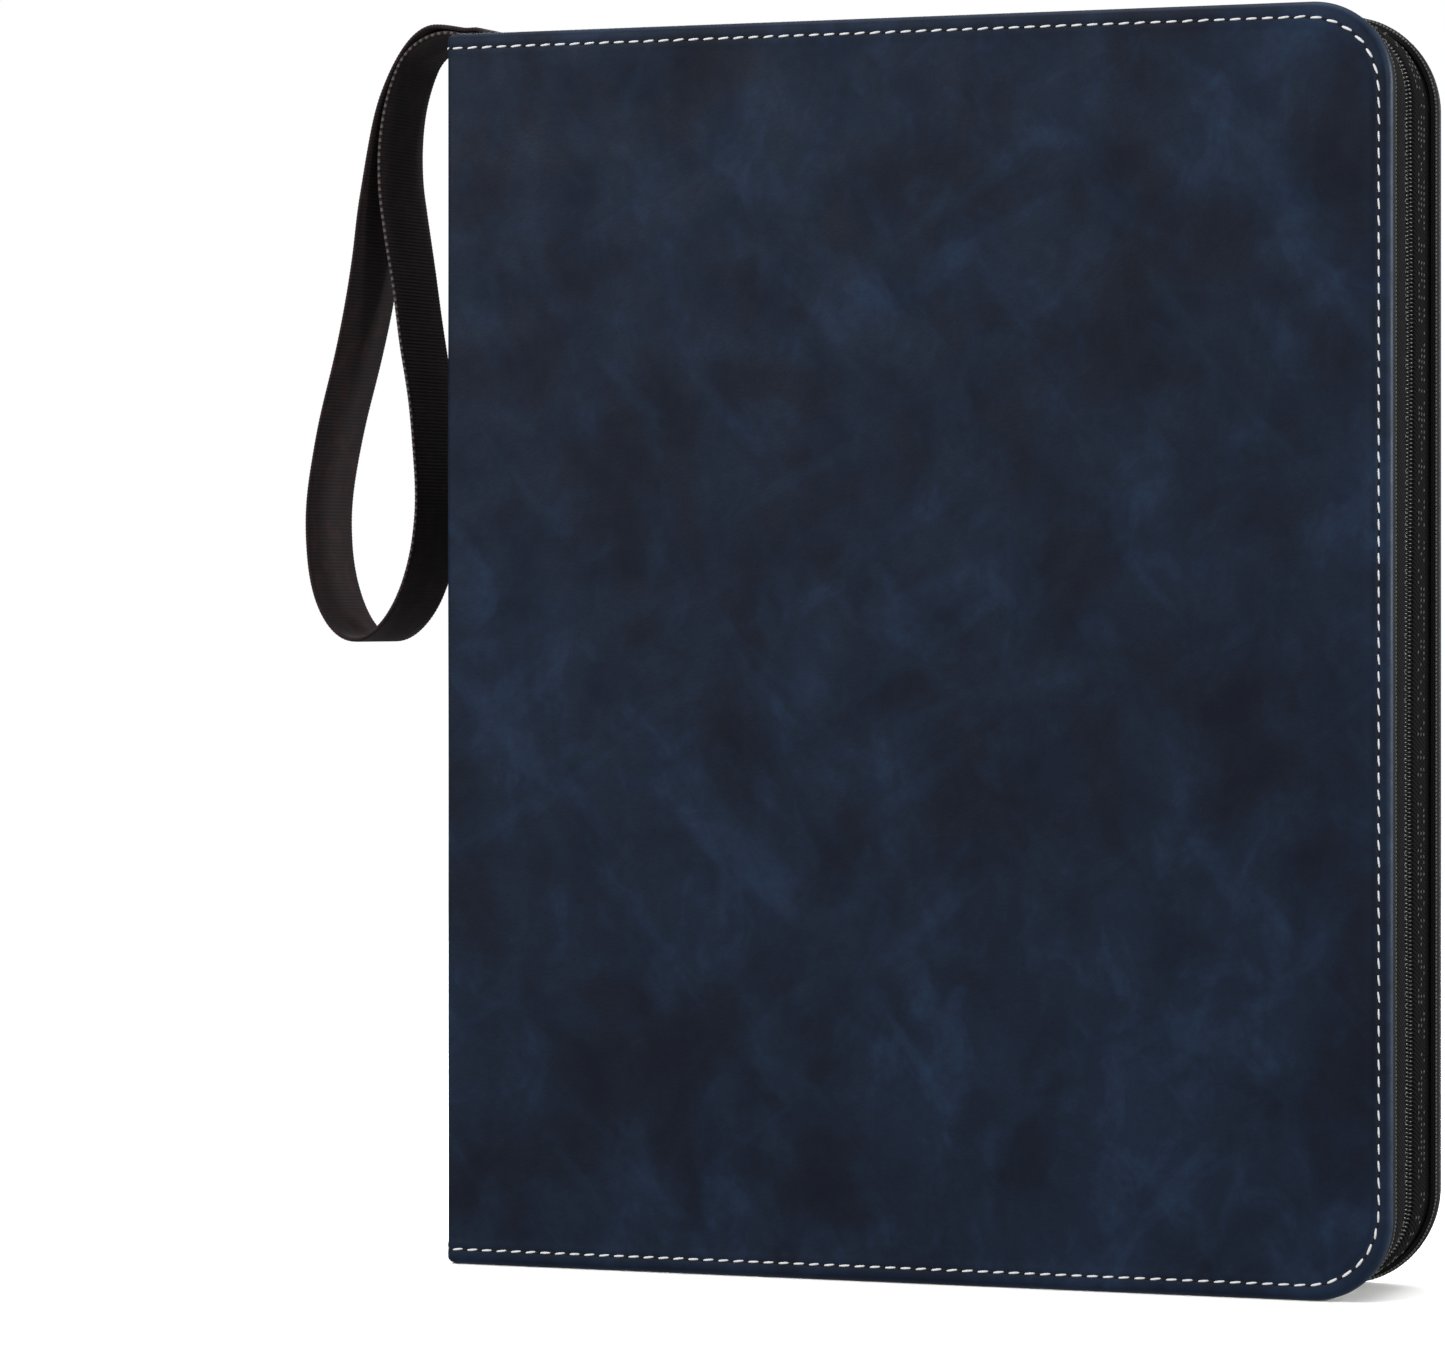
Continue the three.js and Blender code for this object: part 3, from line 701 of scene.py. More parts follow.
def make_skin(name, side, leather):
    """The leather of one cover and of half the spine, in one sheet."""
    profile = rim_profile()
    under = [(inset, max(depth, LEATHER), 0) for inset, depth, _ in profile if inset > 1.2 and depth < 1]
    shape = panel(sheet_columns(GIRTH), GIRTH, profile, under, round_the_fold(side), leather_wave)
    shape.places = [(side * g, depth, z) for g, depth, z in shape.places]
    piece = make_piece(f"{name}_skin", shape, leather, fill_holes=True)
    sharpen(piece, 50)
    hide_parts(f"{name}_leather", *(["spine_leather"] if side < 0 else []))
    bend_at_fold(piece, side, (0, HALF - 6), (6, HALF))


def make_stitches(name, side, thread, hole_shade):
    """The white seam: a thread that rises between its holes, each stitch a little askew."""
    chance = random.Random(7 + side)
    locate = round_the_fold(side)
    line = EdgeLine(STITCH["inset"], 0, GIRTH + STITCH["inset"] - STITCH["side_inset"])
    count = int(line.length / STITCH["pitch"])
    pitch = line.length / count
    shape = Shape()
    for i in range(count):
        middle = (i + 0.5) * pitch
        slant = STITCH["slant"] + chance.uniform(-0.05, 0.05)
        longer = chance.uniform(0.93, 1.06)

        def on_seam(a, b, h, middle=middle, slant=slant, base=0.12):
            g, z = line.beside(middle + a, b + a * slant)
            sink = 0.5 * (a / (STITCH["length"] / 2)) ** 4
            return locate(g, z, base + sink * 0.55 - h)

        capsule(shape, on_seam, STITCH["length"] * longer, STITCH["width"], STITCH["height"])

        def in_hole(a, b, h, middle=middle + pitch / 2):
            g, z = line.beside(min(max(middle + a, 0), line.length), b)
            return locate(g, z, 0.02 - h)

        # A dark capsule between each two stitches: painted shade of the needle hole.
        capsule(shape, in_hole, pitch - STITCH["length"] + 0.35, 0.6, 0.12, finish=1)
    piece = make_piece(f"{name}_stitching", shape, [thread, hole_shade], merge=False)
    bend_at_fold(piece, side, (0, HALF - 6), (6, HALF))


def make_lining_panel(name, side, lining):
    """Padded cloth on the inside of a cover, with its edge rolled under."""
    inset = WIDTH - node_range(f"{name}_lining", 0)[1]
    depth = HALF - LINING_OUTER
    columns = spread(LINING_START, WIDTH - CORNER, 12)
    face = HALF - LINING_FACE
    outer = [(CORNER, face, 0), (12, face, 0), (inset + 2, face, 0), (inset + 0.6, face - 0.03, 0),
             (inset + 0.15, face - 0.12, 0), (inset, face - 0.25, 0)]
    under = [(CORNER, depth, 0), (12, depth, 0), (inset + 0.1, depth, 0)]

    def locate(u, z, at_depth):
        return u, side * (HALF - at_depth), z

    shape = panel(columns, WIDTH, outer, under, locate)
    piece = make_piece(f"{name}_lining_cloth", shape, lining, fill_holes=True)
    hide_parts(f"{name}_lining")
    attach(piece, f"{name}_cover")


def hung_strip(name, loop, along, heights, material):
    """A piece of lining whose outline, a loop of (u, y) points, is the same at all heights. along holds
    the loop's places across the cloth."""
    shape = Shape()
    points = [(u, y, z) for z in heights for u, y in loop]
    places = [(a, 0, z) for z in heights for a in along]
    shape.add(points, grid_faces(len(heights), len(loop), wrap=True), places)
    return make_piece(name, shape, material, fill_holes=True)


def make_fold_lining(name, side, lining):
    """The strip of lining that bridges the fold between the spine and a cover."""
    spine_face = node_range("spine_lining", 0)[1]
    path = [(spine_face + 0.05, 15.5), (spine_face + 0.08, 18.5), (spine_face + 0.5, 19.7), (5.4, 20.4),
            (7.5, 20.75), (10, 20.88), (13, 20.9)]
    thickness = 0.35
    inset = 2.6
    length = running_lengths(path)
    loop = path + [(u + thickness * 0.6, y - thickness) for u, y in reversed(path)]
    piece = hung_strip(f"{name}_fold_lining", [(u, side * y) for u, y in loop], length + length[::-1],
                       spread(inset, HEIGHT - inset, 12), lining)
    bend_at_fold(piece, side, (spine_face, 18.8), (8.5, 21))


def make_spine_lining(lining):
    """The cloth over the spine's board, with rolled edges."""
    low, high = node_range("spine_lining", 0)
    half = node_range("spine_lining", 1)[1]
    bottom, top = node_range("spine_lining", 2)
    across = spread(-half + 0.5, half - 0.5, 2)
    roll = [(high - 0.2, half - 0.1), (high - 0.45, half), (low, half)]
    loop = [(high, y) for y in across] + roll
    loop += [(low, y) for y in reversed(across)] + [(u, -y) for u, y in reversed(roll)]
    piece = hung_strip("spine_lining_cloth", loop, [y for _, y in loop], spread(bottom, top, 8), lining)
    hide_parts("spine_lining")
    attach(piece, "spine")


# ---- the zipped wall ----------------------------------------------------------------------------
WALL = EdgeLine(0, WALL_START)


def wall_stops():
    """Lengths along the wall: wide apart on its straights, and close together round its corners."""
    stops = [0]
    for run, step in ((WALL.run, 5), (WALL.arc, 1.5), (WALL.side, 5), (WALL.arc, 1.5), (WALL.run, 5)):
        stops += spread(stops[-1], stops[-1] + run, step)[1:]
    return stops


def sweep_wall(profile, wave=None):
    """A closed (inset, y) profile swept round the wall. wave(s, y) shifts it sideways along the way."""
    stops = wall_stops()
    across = running_lengths(profile)
    points, places = [], []
    for s in stops:
        for (inset, y), a in zip(profile, across):
            u, z = WALL.beside(s, inset)
            points.append((u, y + (wave(s, y) if wave else 0), z))
            places.append((s, a, 0))
    shape = Shape()
    shape.add(points, grid_faces(len(stops), len(profile), wrap=True), places)
    return shape


def thicken(path, thickness):
    """A closed profile from a path: the path itself, and the path moved inwards by the thickness."""
    return path + [(inset + thickness, y) for inset, y in reversed(path)]


def smooth_path(path, rounds=2):
    """Cuts the corners of a path, keeping its ends."""
    for _ in range(rounds):
        cut = [path[0]]
        for (a, b), (c, d) in zip(path, path[1:]):
            cut += [(0.75 * a + 0.25 * c, 0.75 * b + 0.25 * d), (0.25 * a + 0.75 * c, 0.25 * b + 0.75 * d)]
        path = cut + [path[-1]]
    return path


def zip_wave(s, y):
    """The zip's slight waver between the covers, none near its ends or at the covers."""
    still, growing = 260, 60
    ends = min(1, max(0, s - still) / growing, max(0, WALL.length - still - s) / growing)
    middle = max(0.0, 1 - abs(y) / 14)
    return ends * middle * 1.1 * math.sin(s / 34)


def bead_row(shape, inset, y, pitch, size, seed, skip=0.0, waved=False):
    """A row of small stitches or beads round the wall; skip is the share of them that is left out."""
    chance = random.Random(seed)
    line = EdgeLine(inset, WALL_START)
    for i in range(int(line.length / pitch)):
        middle = (i + 0.5) * pitch
        keep = chance.random() >= skip
        height = size[2] * chance.uniform(0.8, 1.15)
        if not keep:
            continue

        def at(a, b, h, middle=middle):
            u, z = line.beside(middle + a, -h)
            shift = zip_wave(middle, y) if waved else 0
            return u, y + b + a * 0.25 + shift, z

        capsule(shape, at, size[0], size[1], height, sides=5, finish=1, place=(middle, y, 0))


def make_edge_binding(name, side, cloth, thread):
    """Rounded black piping along the inner edge of a cover, with its row of tight stitches."""
    low, high = RIM_INNER - 0.12, 18.9
    proud = 0.3 if side > 0 else 0
    rounded = smooth_path([(1.6, low), (0.2 - proud, low), (0.12 - proud, low - 1.0), (0.3, high + 0.3),
                           (1.6, high)])
    shape = sweep_wall([(inset, side * y) for inset, y in rounded])
    bead_row(shape, 0.4, side * 19.1, BEAD_PITCH, (0.78, 0.55, 0.3), seed=12)
    if side > 0:
        bead_row(shape, 0.1, 21.0, BEAD_PITCH, (0.8, 0.6, 0.32), seed=11)
    piece = make_piece(f"{name}_piping", shape, [cloth, thread], fill_holes=True, merge=False)
    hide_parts(f"{name}_edge_binding")
    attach(piece, f"{name}_cover")


def make_zip_side(name, side, tape, thread, coil):
    """One side of the zip: the tape that bellies out from the cover, and its row of coil teeth."""
    if side < 0:
        path = [(2.4, 20.8), (1.5, 19.0), (1.0, 15.5), (1.1, 11.5), (1.45, 8.0), (1.75, 5.6), (1.9, 4.1),
                (2.9, 3.5), (3.6, 2.0)]
    else:
        path = [(3.6, 2.0), (2.9, 3.5), (2.1, 4.2), (1.8, 6.0), (1.6, 8.5), (1.5, 11.0), (1.5, 12.9)]
    outline = [(inset, side * y) for inset, y in smooth_path(path)]
    shape = sweep_wall(thicken(outline, 0.45), zip_wave)
    rows = [(1.5, 6.4, 0.55)] if side < 0 else [(1.6, 6.6, 0.5), (1.5, 8.8, 0.45), (1.45, 11.2, 0.5)]
    for i, (inset, y, skip) in enumerate(rows):
        bead_row(shape, inset, side * y, 1.5, (0.85, 0.4, 0.22), seed=20 + i, skip=skip, waved=True)
    piece = make_piece(f"{name}_tape_cloth", shape, [tape, thread], fill_holes=True, merge=False)
    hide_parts(f"{name}_zip_tape")
    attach(piece, f"{name}_cover")
    width = running_lengths(outline)[-1]
    make_teeth(name, side, coil)


def make_teeth(name, side, coil):
    """A row of nylon teeth. The two rows are half a pitch apart, so that their heads interlock."""
    line = EdgeLine(COIL_INSET + COIL_DEPTH / 2, COIL_START)
    shape = Shape()
    head, foot = 0.1, COIL_REACH
    length = foot - head
    for i in range(int(line.length / BEAD_PITCH)):
        middle = (i + (0.25 if side < 0 else 0.75)) * BEAD_PITCH

        def at(a, b, h, middle=middle):
            share = (a + length / 2) / length
            swell = 0.6 + 0.5 * math.sin(math.pi * min(1, max(0, share)))
            u, z = line.beside(middle + b * swell, -h * swell)
            y = side * (head + share * length)
            return u, y + zip_wave(middle, y), z

        capsule(shape, at, length, 0.72, COIL_DEPTH / 2, sides=8, place=(middle, side, 0))
    piece = make_piece(f"{name}_teeth", shape, coil, merge=False)
    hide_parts(f"{name}_zip_coil")
    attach(piece, f"{name}_cover")


def make_back_gusset(cloth):
    """The cloth that joins the back tape to the back cover, folded inwards between them."""
    path = [(2.1, 8.6), (2.0, 12.7), (3.6, 14.0), (4.6, 16.2), (4.3, 18.4), (2.9, 19.7), (1.3, 20.2)]
    outline = smooth_path(path)
    shape = sweep_wall(thicken(outline, 0.4))
    piece = make_piece("back_gusset_cloth", shape, cloth, fill_holes=True, merge=False)
    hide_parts("back_gusset")
    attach(piece, "back_cover")
    width = running_lengths(outline)[-1]


def make_spine_gusset(name, mirror, cloth):
    """Soft cloth across an end of the spine: up from the lining, over, and out between the covers."""
    low, high = node_range(name, 2)
    inner, outer, lean = (high, low, 1) if mirror else (low, high, -1)
    far = node_range(name, 0)[1]
    path = smooth_path([(4.15, inner), (4.3, outer + lean * 4.5), (4.9, outer + lean * 0.9),
                        (7.5, outer + lean * 0.35), (far, outer + lean * 1.1)], 3)
    runs = running_lengths(path)
    across = spread(-20, 20, 2.5)
    points, places = [], []
    for (u, z), run in zip(path, runs):
        for y in across:
            sag = lean * 0.5 * math.cos(math.pi * y / 40) * min(1, max(0, (u - 4.6) / 2))
            points.append((u, y, z + sag))
            places.append((run, y, z))
    shape = Shape()
    shape.add(points, grid_faces(len(path), len(across)), places)
    piece = make_piece(f"{name}_cloth", shape, cloth)
    thickened(piece, 0.45, 0)
    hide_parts(name)
    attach(piece, "spine")


# ---- slider and pull ----------------------------------------------------------------------------
SLIDER_U = node_range("zip_slider", 0)
SLIDER_Z = node_range("zip_slider", 2)
LINK_Z = sum(node_range("pull_link", 2)) / 2
LINK_U = node_range("pull_link", 0)
TAB_U = node_range("pull_tab", 0)
TAB_Z = node_range("pull_tab", 2)
TAB_HALF = node_range("pull_tab", 1)[1]
COIL_TOP = HEIGHT - COIL_INSET
COIL_UNDER = COIL_TOP - COIL_DEPTH


def rounded_outline(u, half, radius, inset=0.0, steps=6):
    """A rectangle with round corners, from u[0] to u[1] and half to each side, drawn in by an inset."""
    radius = max(radius - inset, 0.05)
    left, right = u[0] + inset + radius, u[1] - inset - radius
    reach = half - inset - radius
    turns = [math.pi / 2 * i / steps for i in range(steps + 1)]
    return [
        (centre_u + radius * math.cos(first + turn), centre_y + radius * math.sin(first + turn))
        for centre_u, centre_y, first in ((right, reach, 0), (left, reach, math.pi / 2),
                                          (left, -reach, math.pi), (right, -reach, math.pi * 1.5))
        for turn in turns
    ]


def stack(shape, rings):
    """A closed body from rings of points, with a cap on the first and on the last."""
    count = len(rings[0])
    faces = grid_faces(len(rings), count, wrap=True)
    faces += [list(range(count)), list(range((len(rings) - 1) * count, len(rings) * count))]
    shape.add([point for ring in rings for point in ring], faces)


def slab(shape, outline, low, high, edge):
    """A flat plate with softened edges: outline(inset) gives its (u, y) points."""
    levels = [(edge, low), (0.0, low + edge), (0.0, high - edge), (edge, high)]
    stack(shape, [[(u, y, z) for u, y in outline(inset)] for inset, z in levels])


def bent_bar(shape, path, section):
    """A bar along a (u, z) path. section(u) gives its outline there, as (thickness, y) points."""
    rings = []
    for i, (u, z) in enumerate(path):
        before, after = path[max(i - 1, 0)], path[min(i + 1, len(path) - 1)]
        along = Vector((after[0] - before[0], after[1] - before[1])).normalized()
        rings.append([(u - along.y * a, b, z + along.x * a) for a, b in section(u)])
    stack(shape, rings)


def tube(shape, path, radius, sides, closed=False):
    """A round wire along a path of points."""
    count = len(path)
    turns = [2 * math.pi * i / sides for i in range(sides)]
    ring = [(radius * math.cos(a), radius * math.sin(a)) for a in turns]
    rings = []
    for i, point in enumerate(path):
        before = Vector(path[i - 1] if closed or i else path[0])
        after = Vector(path[(i + 1) % count] if closed or i < count - 1 else path[-1])
        along = (after - before).normalized()
        side = along.cross(Vector((0, 0, 1))).normalized()
        other = along.cross(side)
        rings.append([tuple(Vector(point) + a * side + b * other) for a, b in ring])
    if not closed:
        stack(shape, rings)
        return
    points = [point for ring in rings for point in ring]
    faces = grid_faces(count + 1, sides, wrap=True)
    shape.add(points, [[i % len(points) for i in face] for face in faces])


def slider_outline(inset):
    """The slider's plate from above: a narrow tail, wide shoulders and a rounded nose."""
    start, end = SLIDER_U[0] + inset, SLIDER_U[1] - inset
    half = [(start, 3.5), (start + 0.5, 4.0), (start + 4, 4.5), (end - 4, 5.0), (end - 2.2, 4.9),
            (end - 0.9, 4.2), (end - 0.2, 3.1), (end, 2.2)]
    half = smooth_path([(u, y - inset) for u, y in half], 1)
    return half + [(u, -y) for u, y in reversed(half)]


def make_slider(metal):
    """The slider: two plates with the coils between them, flanges, a post and the bail for the pull."""
    shape = Shape()
    plate, gap = 1.3, 0.2
    top = COIL_TOP + gap
    under = COIL_UNDER - gap
    slab(shape, slider_outline, top, top + plate, 0.3)
    slab(shape, slider_outline, under - plate, under, 0.3)
    flange = (SLIDER_U[0] + 1.2, SLIDER_U[1] - 3.6)
    for side in (-1, 1):
        def flange_outline(inset, side=side):
            return [(u, y + side * 4.35) for u, y in rounded_outline(flange, 0.38, 0.3, inset * 0.5, 3)]

        slab(shape, flange_outline, top - 0.7, top + 0.3, 0.12)
    post = (SLIDER_U[1] - 2.5, SLIDER_U[1] - 0.8)
    slab(shape, lambda inset: rounded_outline(post, 0.08, 0.06, inset * 0.3, 3),
         COIL_UNDER - 0.6, COIL_TOP + 0.6, 0.1)
    bail_low, bail_high = top + plate - 0.3, SLIDER_Z[1] - 0.4
    start, end = SLIDER_U[0] + 3.7, SLIDER_U[0] + 7.5
    arch = [(start, bail_low), (start, bail_high - 1.0), (start + 0.9, bail_high), (end - 0.9, bail_high),
            (end, bail_high - 1.0), (end, bail_low)]
    bent_bar(shape, smooth_path(arch), lambda u: rounded_outline((-0.4, 0.4), 1.35, 0.35, 0, 3))
    piece = sharpen(make_piece("zip_slider_body", shape, metal, merge=False), 35)
    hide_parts("zip_slider")
    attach(piece, "slider")


def make_link(metal):
    """The wire loop between the slider's bail and the tab."""
    shape = Shape()
    wire = 0.52
    outline = rounded_outline((LINK_U[0] + wire, LINK_U[1] - wire + 0.6), 2.4, 1.1)
    tube(shape, [(u, y, LINK_Z) for u, y in outline], wire, 10, closed=True)
    piece = make_piece("pull_wire", shape, metal, merge=False)
    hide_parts("pull_link")
    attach(piece, "pull")


def make_tab(rubber):
    """The moulded pull: a rounded bar with a raised rim and a sunken middle on both faces."""
    shape = Shape()
    levels = [(1.9, 0.62), (1.55, 0.66), (1.3, 0.95), (0.7, 1.08), (0.28, 1.0), (0.05, 0.72), (0.0, 0.4)]
    levels += [(inset, -height) for inset, height in reversed(levels)]
    middle = sum(TAB_Z) / 2
    half_height = (TAB_Z[1] - TAB_Z[0]) / 2 / 1.1
    stack(shape, [
        [(u, y, middle + height * half_height) for u, y in rounded_outline(TAB_U, TAB_HALF, 3.4, inset, 8)]
        for inset, height in levels
    ])
    piece = sharpen(make_piece("pull_grip", shape, rubber, merge=False), 60)
    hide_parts("pull_tab")
    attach(piece, "pull")


def make_stop(name, metal):
    """A small clamped metal stop at the end of a coil."""
    u, y, z = (node_range(name, axis) for axis in range(3))
    middle, half = sum(y) / 2, (y[1] - y[0]) / 2

    def outline(inset):
        return [(a, b + middle) for a, b in rounded_outline(u, half, 0.5, inset, 3)]

    shape = Shape()
    slab(shape, outline, *z, 0.35)
    piece = sharpen(make_piece(f"{name}_clamp", shape, metal, merge=False), 35)
    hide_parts(name)
    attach(piece, "back_cover")


# ---- wrist strap --------------------------------------------------------------------------------
STRAP_LEFT = node_range("wrist_strap", 0)[0] + STRAP_THICKNESS / 2
STRAP_CURVES = [
    [(-0.6, 332.2), (-4, 332.8), (-6, 333.3), (-9, 333.4)],
    [(-9, 333.4), (-15, 333.4), (-20.5, 326.5), (-25.2, 314.5)],
    [(-25.2, 314.5), (-29.2, 303.5), (-31, 286), (-34.2, 264)],
    [(-34.2, 264), (-37.7, 242), (STRAP_LEFT, 219), (STRAP_LEFT, 199)],
    [(STRAP_LEFT, 199), (STRAP_LEFT, 181), (-41.5, 167.3), (-33, 167.3)],
    [(-33, 167.3), (-23.8, 167.3), (-14.4, 184), (-14.4, 205)],
    [(-14.4, 205), (-14.4, 226), (-18.9, 246), (-21.6, 266)],
    [(-21.6, 266), (-23.6, 280), (-25.9, 288), (-25.4, 300)],
    [(-25.4, 300), (-24.9, 309), (-23.0, 317.5), (-19.2, 324.3)],
    [(-19.2, 324.3), (-15.5, 329.9), (-9, 331.8), (-5, 331.5)],
    [(-5, 331.5), (-3.5, 331.4), (-2, 330.8), (-0.6, 330.8)],
]
STRAP_IN = [[(6.2, 325.3), (6.2, 329), (5.9, 332.2), (2.6, 332.2)],
            [(2.6, 332.2), (1.5, 332.2), (0.4, 332.1), (-0.6, 332.2)]]
STRAP_OUT = [[(-0.6, 330.8), (0.4, 330.8), (1.4, 330.8), (2.6, 330.8)],
             [(2.6, 330.8), (4.4, 330.8), (4.75, 329.2), (4.75, 325.3)]]


def bezier_points(curves, count):
    """Points along joined curves, each curve given by its two ends and the two handles between them."""
    points = []
    for curve in curves:
        for i in range(count):
            t = i / count
            weights = ((1 - t) ** 3, 3 * t * (1 - t) ** 2, 3 * t * t * (1 - t), t ** 3)
            points.append(tuple(sum(w * p[k] for w, p in zip(weights, curve)) for k in (0, 1)))
    return points + [curves[-1][3]]


def even_points(path, step):
    """The path resampled at an even step, and its length."""
    lengths = running_lengths(path)
    count = round(lengths[-1] / step)
    out, j = [], 0
    for i in range(count + 1):
        s = lengths[-1] * i / count
        while j < len(lengths) - 2 and lengths[j + 1] < s:
            j += 1
        share = (s - lengths[j]) / max(lengths[j + 1] - lengths[j], 1e-9)
        out.append(tuple(a + (b - a) * share for a, b in zip(path[j], path[j + 1])))
    return out, lengths[-1]


def webbing_section():
    """The webbing's outline from its edge at y = -half: (y, share of the half thickness) all round."""
    half = STRAP_WIDTH / 2
    edge = [(half, 0.3), (half - 0.12, 0.62), (half - 0.5, 0.95), (half - 1.3, 1.0)]
    face = [(-y, share) for y, share in edge] + [(y, 1) for y in (-8, -4, 0, 4, 8)] + edge[::-1]
    return face + [(y, -share) for y, share in reversed(face)]


def make_strap(webbing):
    """Webbing with woven ribs across it, in a loop whose far edge lies a little nearer the spine."""
    path, length = even_points(bezier_points(STRAP_IN + STRAP_CURVES + STRAP_OUT, 40), STRAP_RIB / 4)
    step = length / (len(path) - 1)
    half = STRAP_WIDTH / 2
    section = webbing_section()
    points, places = [], []
    for i, (u, z) in enumerate(path):
        (u0, z0), (u1, z1) = path[max(i - 1, 0)], path[min(i + 1, len(path) - 1)]
        run = math.hypot(u1 - u0, z1 - z0)
        normal = (-(z1 - z0) / run, (u1 - u0) / run)
        hollow = 0.5 - 0.5 * math.cos(2 * math.pi * i * step / STRAP_RIB)
        loose = min(1, max(0, (326 - z) / 40))
        for y, side in section:
            reach = side * (STRAP_THICKNESS / 2 - 0.1 * hollow - 0.02)
            wavy = y * (1 - 0.005 * hollow) if abs(y) > half - 0.3 else y
            sway = loose * (0.075 * (y + half) - 0.3 + 0.3 * noise.noise(Vector((i * step / 17, y / 30, 0))))
            points.append((u + normal[0] * reach + sway, wavy, z + normal[1] * reach))
            places.append((i * step, y, side))
    shape = Shape()
    shape.add(points, grid_faces(len(path), len(section), wrap=True), places)
    piece = make_piece("webbing_loop", shape, webbing, fill_holes=True, merge=False)
    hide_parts("wrist_strap", "strap_anchor")
    to_row(2.5, 0, 332)
    to_row(-3.5, 0, 332)
    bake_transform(piece)


# ---- ring mechanism -----------------------------------------------------------------------------
def make_half_rings(side_name, side, nickel):
    """The three half rings of one side, from their tips down to their feet on the blade."""
    tip, foot = math.radians(0.8), math.radians(161)
    angles = [tip + (foot - tip) * j / 48 for j in range(49)]
    for i, z in enumerate(RING_HEIGHTS, 1):
        path = [(RING_U + RING_RADIUS * math.cos(a), side * RING_RADIUS * math.sin(a), z) for a in angles]
        shape = Shape()
        tube(shape, path, WIRE_RADIUS, 20)
        piece = make_piece(f"{side_name}_ring_wire_{i}", shape, nickel, merge=False)
        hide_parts(f"{side_name}_half_ring_{i}")
        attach(bevelled(piece, 0.25, 60), f"{side_name}_rings")


def make_cover_plate(nickel):
    """The arched plate over the blades, notched where the rings come through."""
    base, top = node_range("ring_cover_plate", 0)
    half = node_range("ring_cover_plate", 1)[1]
    low, high = node_range("ring_cover_plate", 2)
    bend, notch_inner, notch_half = 3.2, 3.4, 2.8
    corner = [(top - 0.25 - bend + bend * math.sin(a), half - bend + bend * math.cos(a))
              for a in (math.pi / 2 * i / 8 for i in range(9))]
    side_points = [(base, half)] + corner + [(top - 0.12, 6.2), (top - 0.03, notch_inner), (top, 1.5)]
    profile = [(u, -y) for u, y in side_points] + [(u, y) for u, y in reversed(side_points)]
    rows = [low, low + 1.2]
    for z in RING_HEIGHTS:
        rows += [z - notch_half, z + notch_half]
    rows += [high - 1.2, high]
    shape = Shape()
    points = [(u, y, z) for z in rows for u, y in profile]
    faces = []
    for face in grid_faces(len(rows), len(profile)):
        middle_y = sum(points[i][1] for i in face) / 4
        middle_z = sum(points[i][2] for i in face) / 4
        notched = any(abs(middle_z - z) < notch_half for z in RING_HEIGHTS)
        if not (notched and abs(middle_y) > notch_inner):
            faces.append(face)
    shape.add(points, faces)
    piece = make_piece("ring_plate", shape, nickel)
    thickened(piece, 0.8, -1)
    bevelled(piece, 0.15, 50)
    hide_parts("ring_cover_plate")
    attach(piece, "spine")


def make_rivet(name, nickel):
    """A domed rivet through the plate into the spine board."""
    low, high = node_range(name, 0)
    z = sum(node_range(name, 2)) / 2
    under = node_range("ring_cover_plate", 0)[1] + 0.1
    dome = [(3.0 * math.cos(a), under + 0.3 + (high - under - 0.3) * math.sin(a))
            for a in (math.pi / 2 * i / 6 for i in range(6))]
    profile = [(1.4, low), (1.4, under), (2.85, under), (3.0, under + 0.12)] + dome
    shape = Shape()
    turns = [2 * math.pi * i / 28 for i in range(28)]
    stack(shape, [[(u, r * math.cos(a), z + r * math.sin(a)) for a in turns] for r, u in profile])
    piece = sharpen(make_piece(f"{name}_dome", shape, nickel, merge=False), 45)
    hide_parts(name)
    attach(piece, "spine")


def make_lever(name, mirror, nickel):
    """A trigger lever: sheet metal that curves up and out, with a curled thumb edge."""
    path = smooth_path([(4.6, 305.7), (8.0, 305.7), (15.0, 307.8), (20.8, 309.9), (22.2, 311.1),
                        (22.9, 311.9)])
    if mirror:
        path = [(u, HEIGHT - z) for u, z in path]
    half = node_range(name, 1)[1]

    def section(u):
        narrow = half - 1.2 * max(0, (u - 19.5) / 3.4) ** 2 - 1.5 * max(0, (7.5 - u) / 3)
        return rounded_outline((-0.75, 0.75), narrow, 0.6, 0, 3)

    shape = Shape()
    bent_bar(shape, path, section)
    piece = sharpen(make_piece(f"{name}_plate", shape, nickel, merge=False), 45)
    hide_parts(name)
    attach(piece, name.replace("lever", "trigger"))


# ---- pocket leaves ------------------------------------------------------------------------------
LEAF = {"strip": 9, "width": 226, "height": 289, "strip_height": 263, "round": 3, "backing": 0.3}
POCKET = (68.5, 94)
POCKET_START = 12.2  # from the holes' line to the first pocket
ROUND_HOLES = (-120, -81, 81, 120)
SLOTS = (-58, -39, 39, 58)
RING_SLOTS = (-108, 0, 108)


def leaf_outline():
    """The leaf in (x, z) from the holes' line: pocket area, and the shorter strip with round corners."""
    strip, end = LEAF["strip"], LEAF["width"] - LEAF["strip"]
    half, strip_half = LEAF["height"] / 2, LEAF["strip_height"] / 2

    def turn(x, z, radius, first):
        angles = [first + math.pi / 2 * i / 5 for i in range(6)]
        return [(x + radius * math.cos(a), z + radius * math.sin(a)) for a in angles]

    small, large = LEAF["round"], 2 * LEAF["round"]
    outline = [(strip, -half)]
    outline += turn(end - small, -half + small, small, -math.pi / 2)
    outline += turn(end - small, half - small, small, 0)
    outline += [(strip, half), (strip, strip_half + 1.5), (strip - 1.5, strip_half)]
    outline += turn(-strip + large, strip_half - large, large, math.pi / 2)
    outline += turn(-strip + large, -strip_half + large, large, math.pi)
    return outline + [(strip - 1.5, -strip_half), (strip, -strip_half - 1.5)]


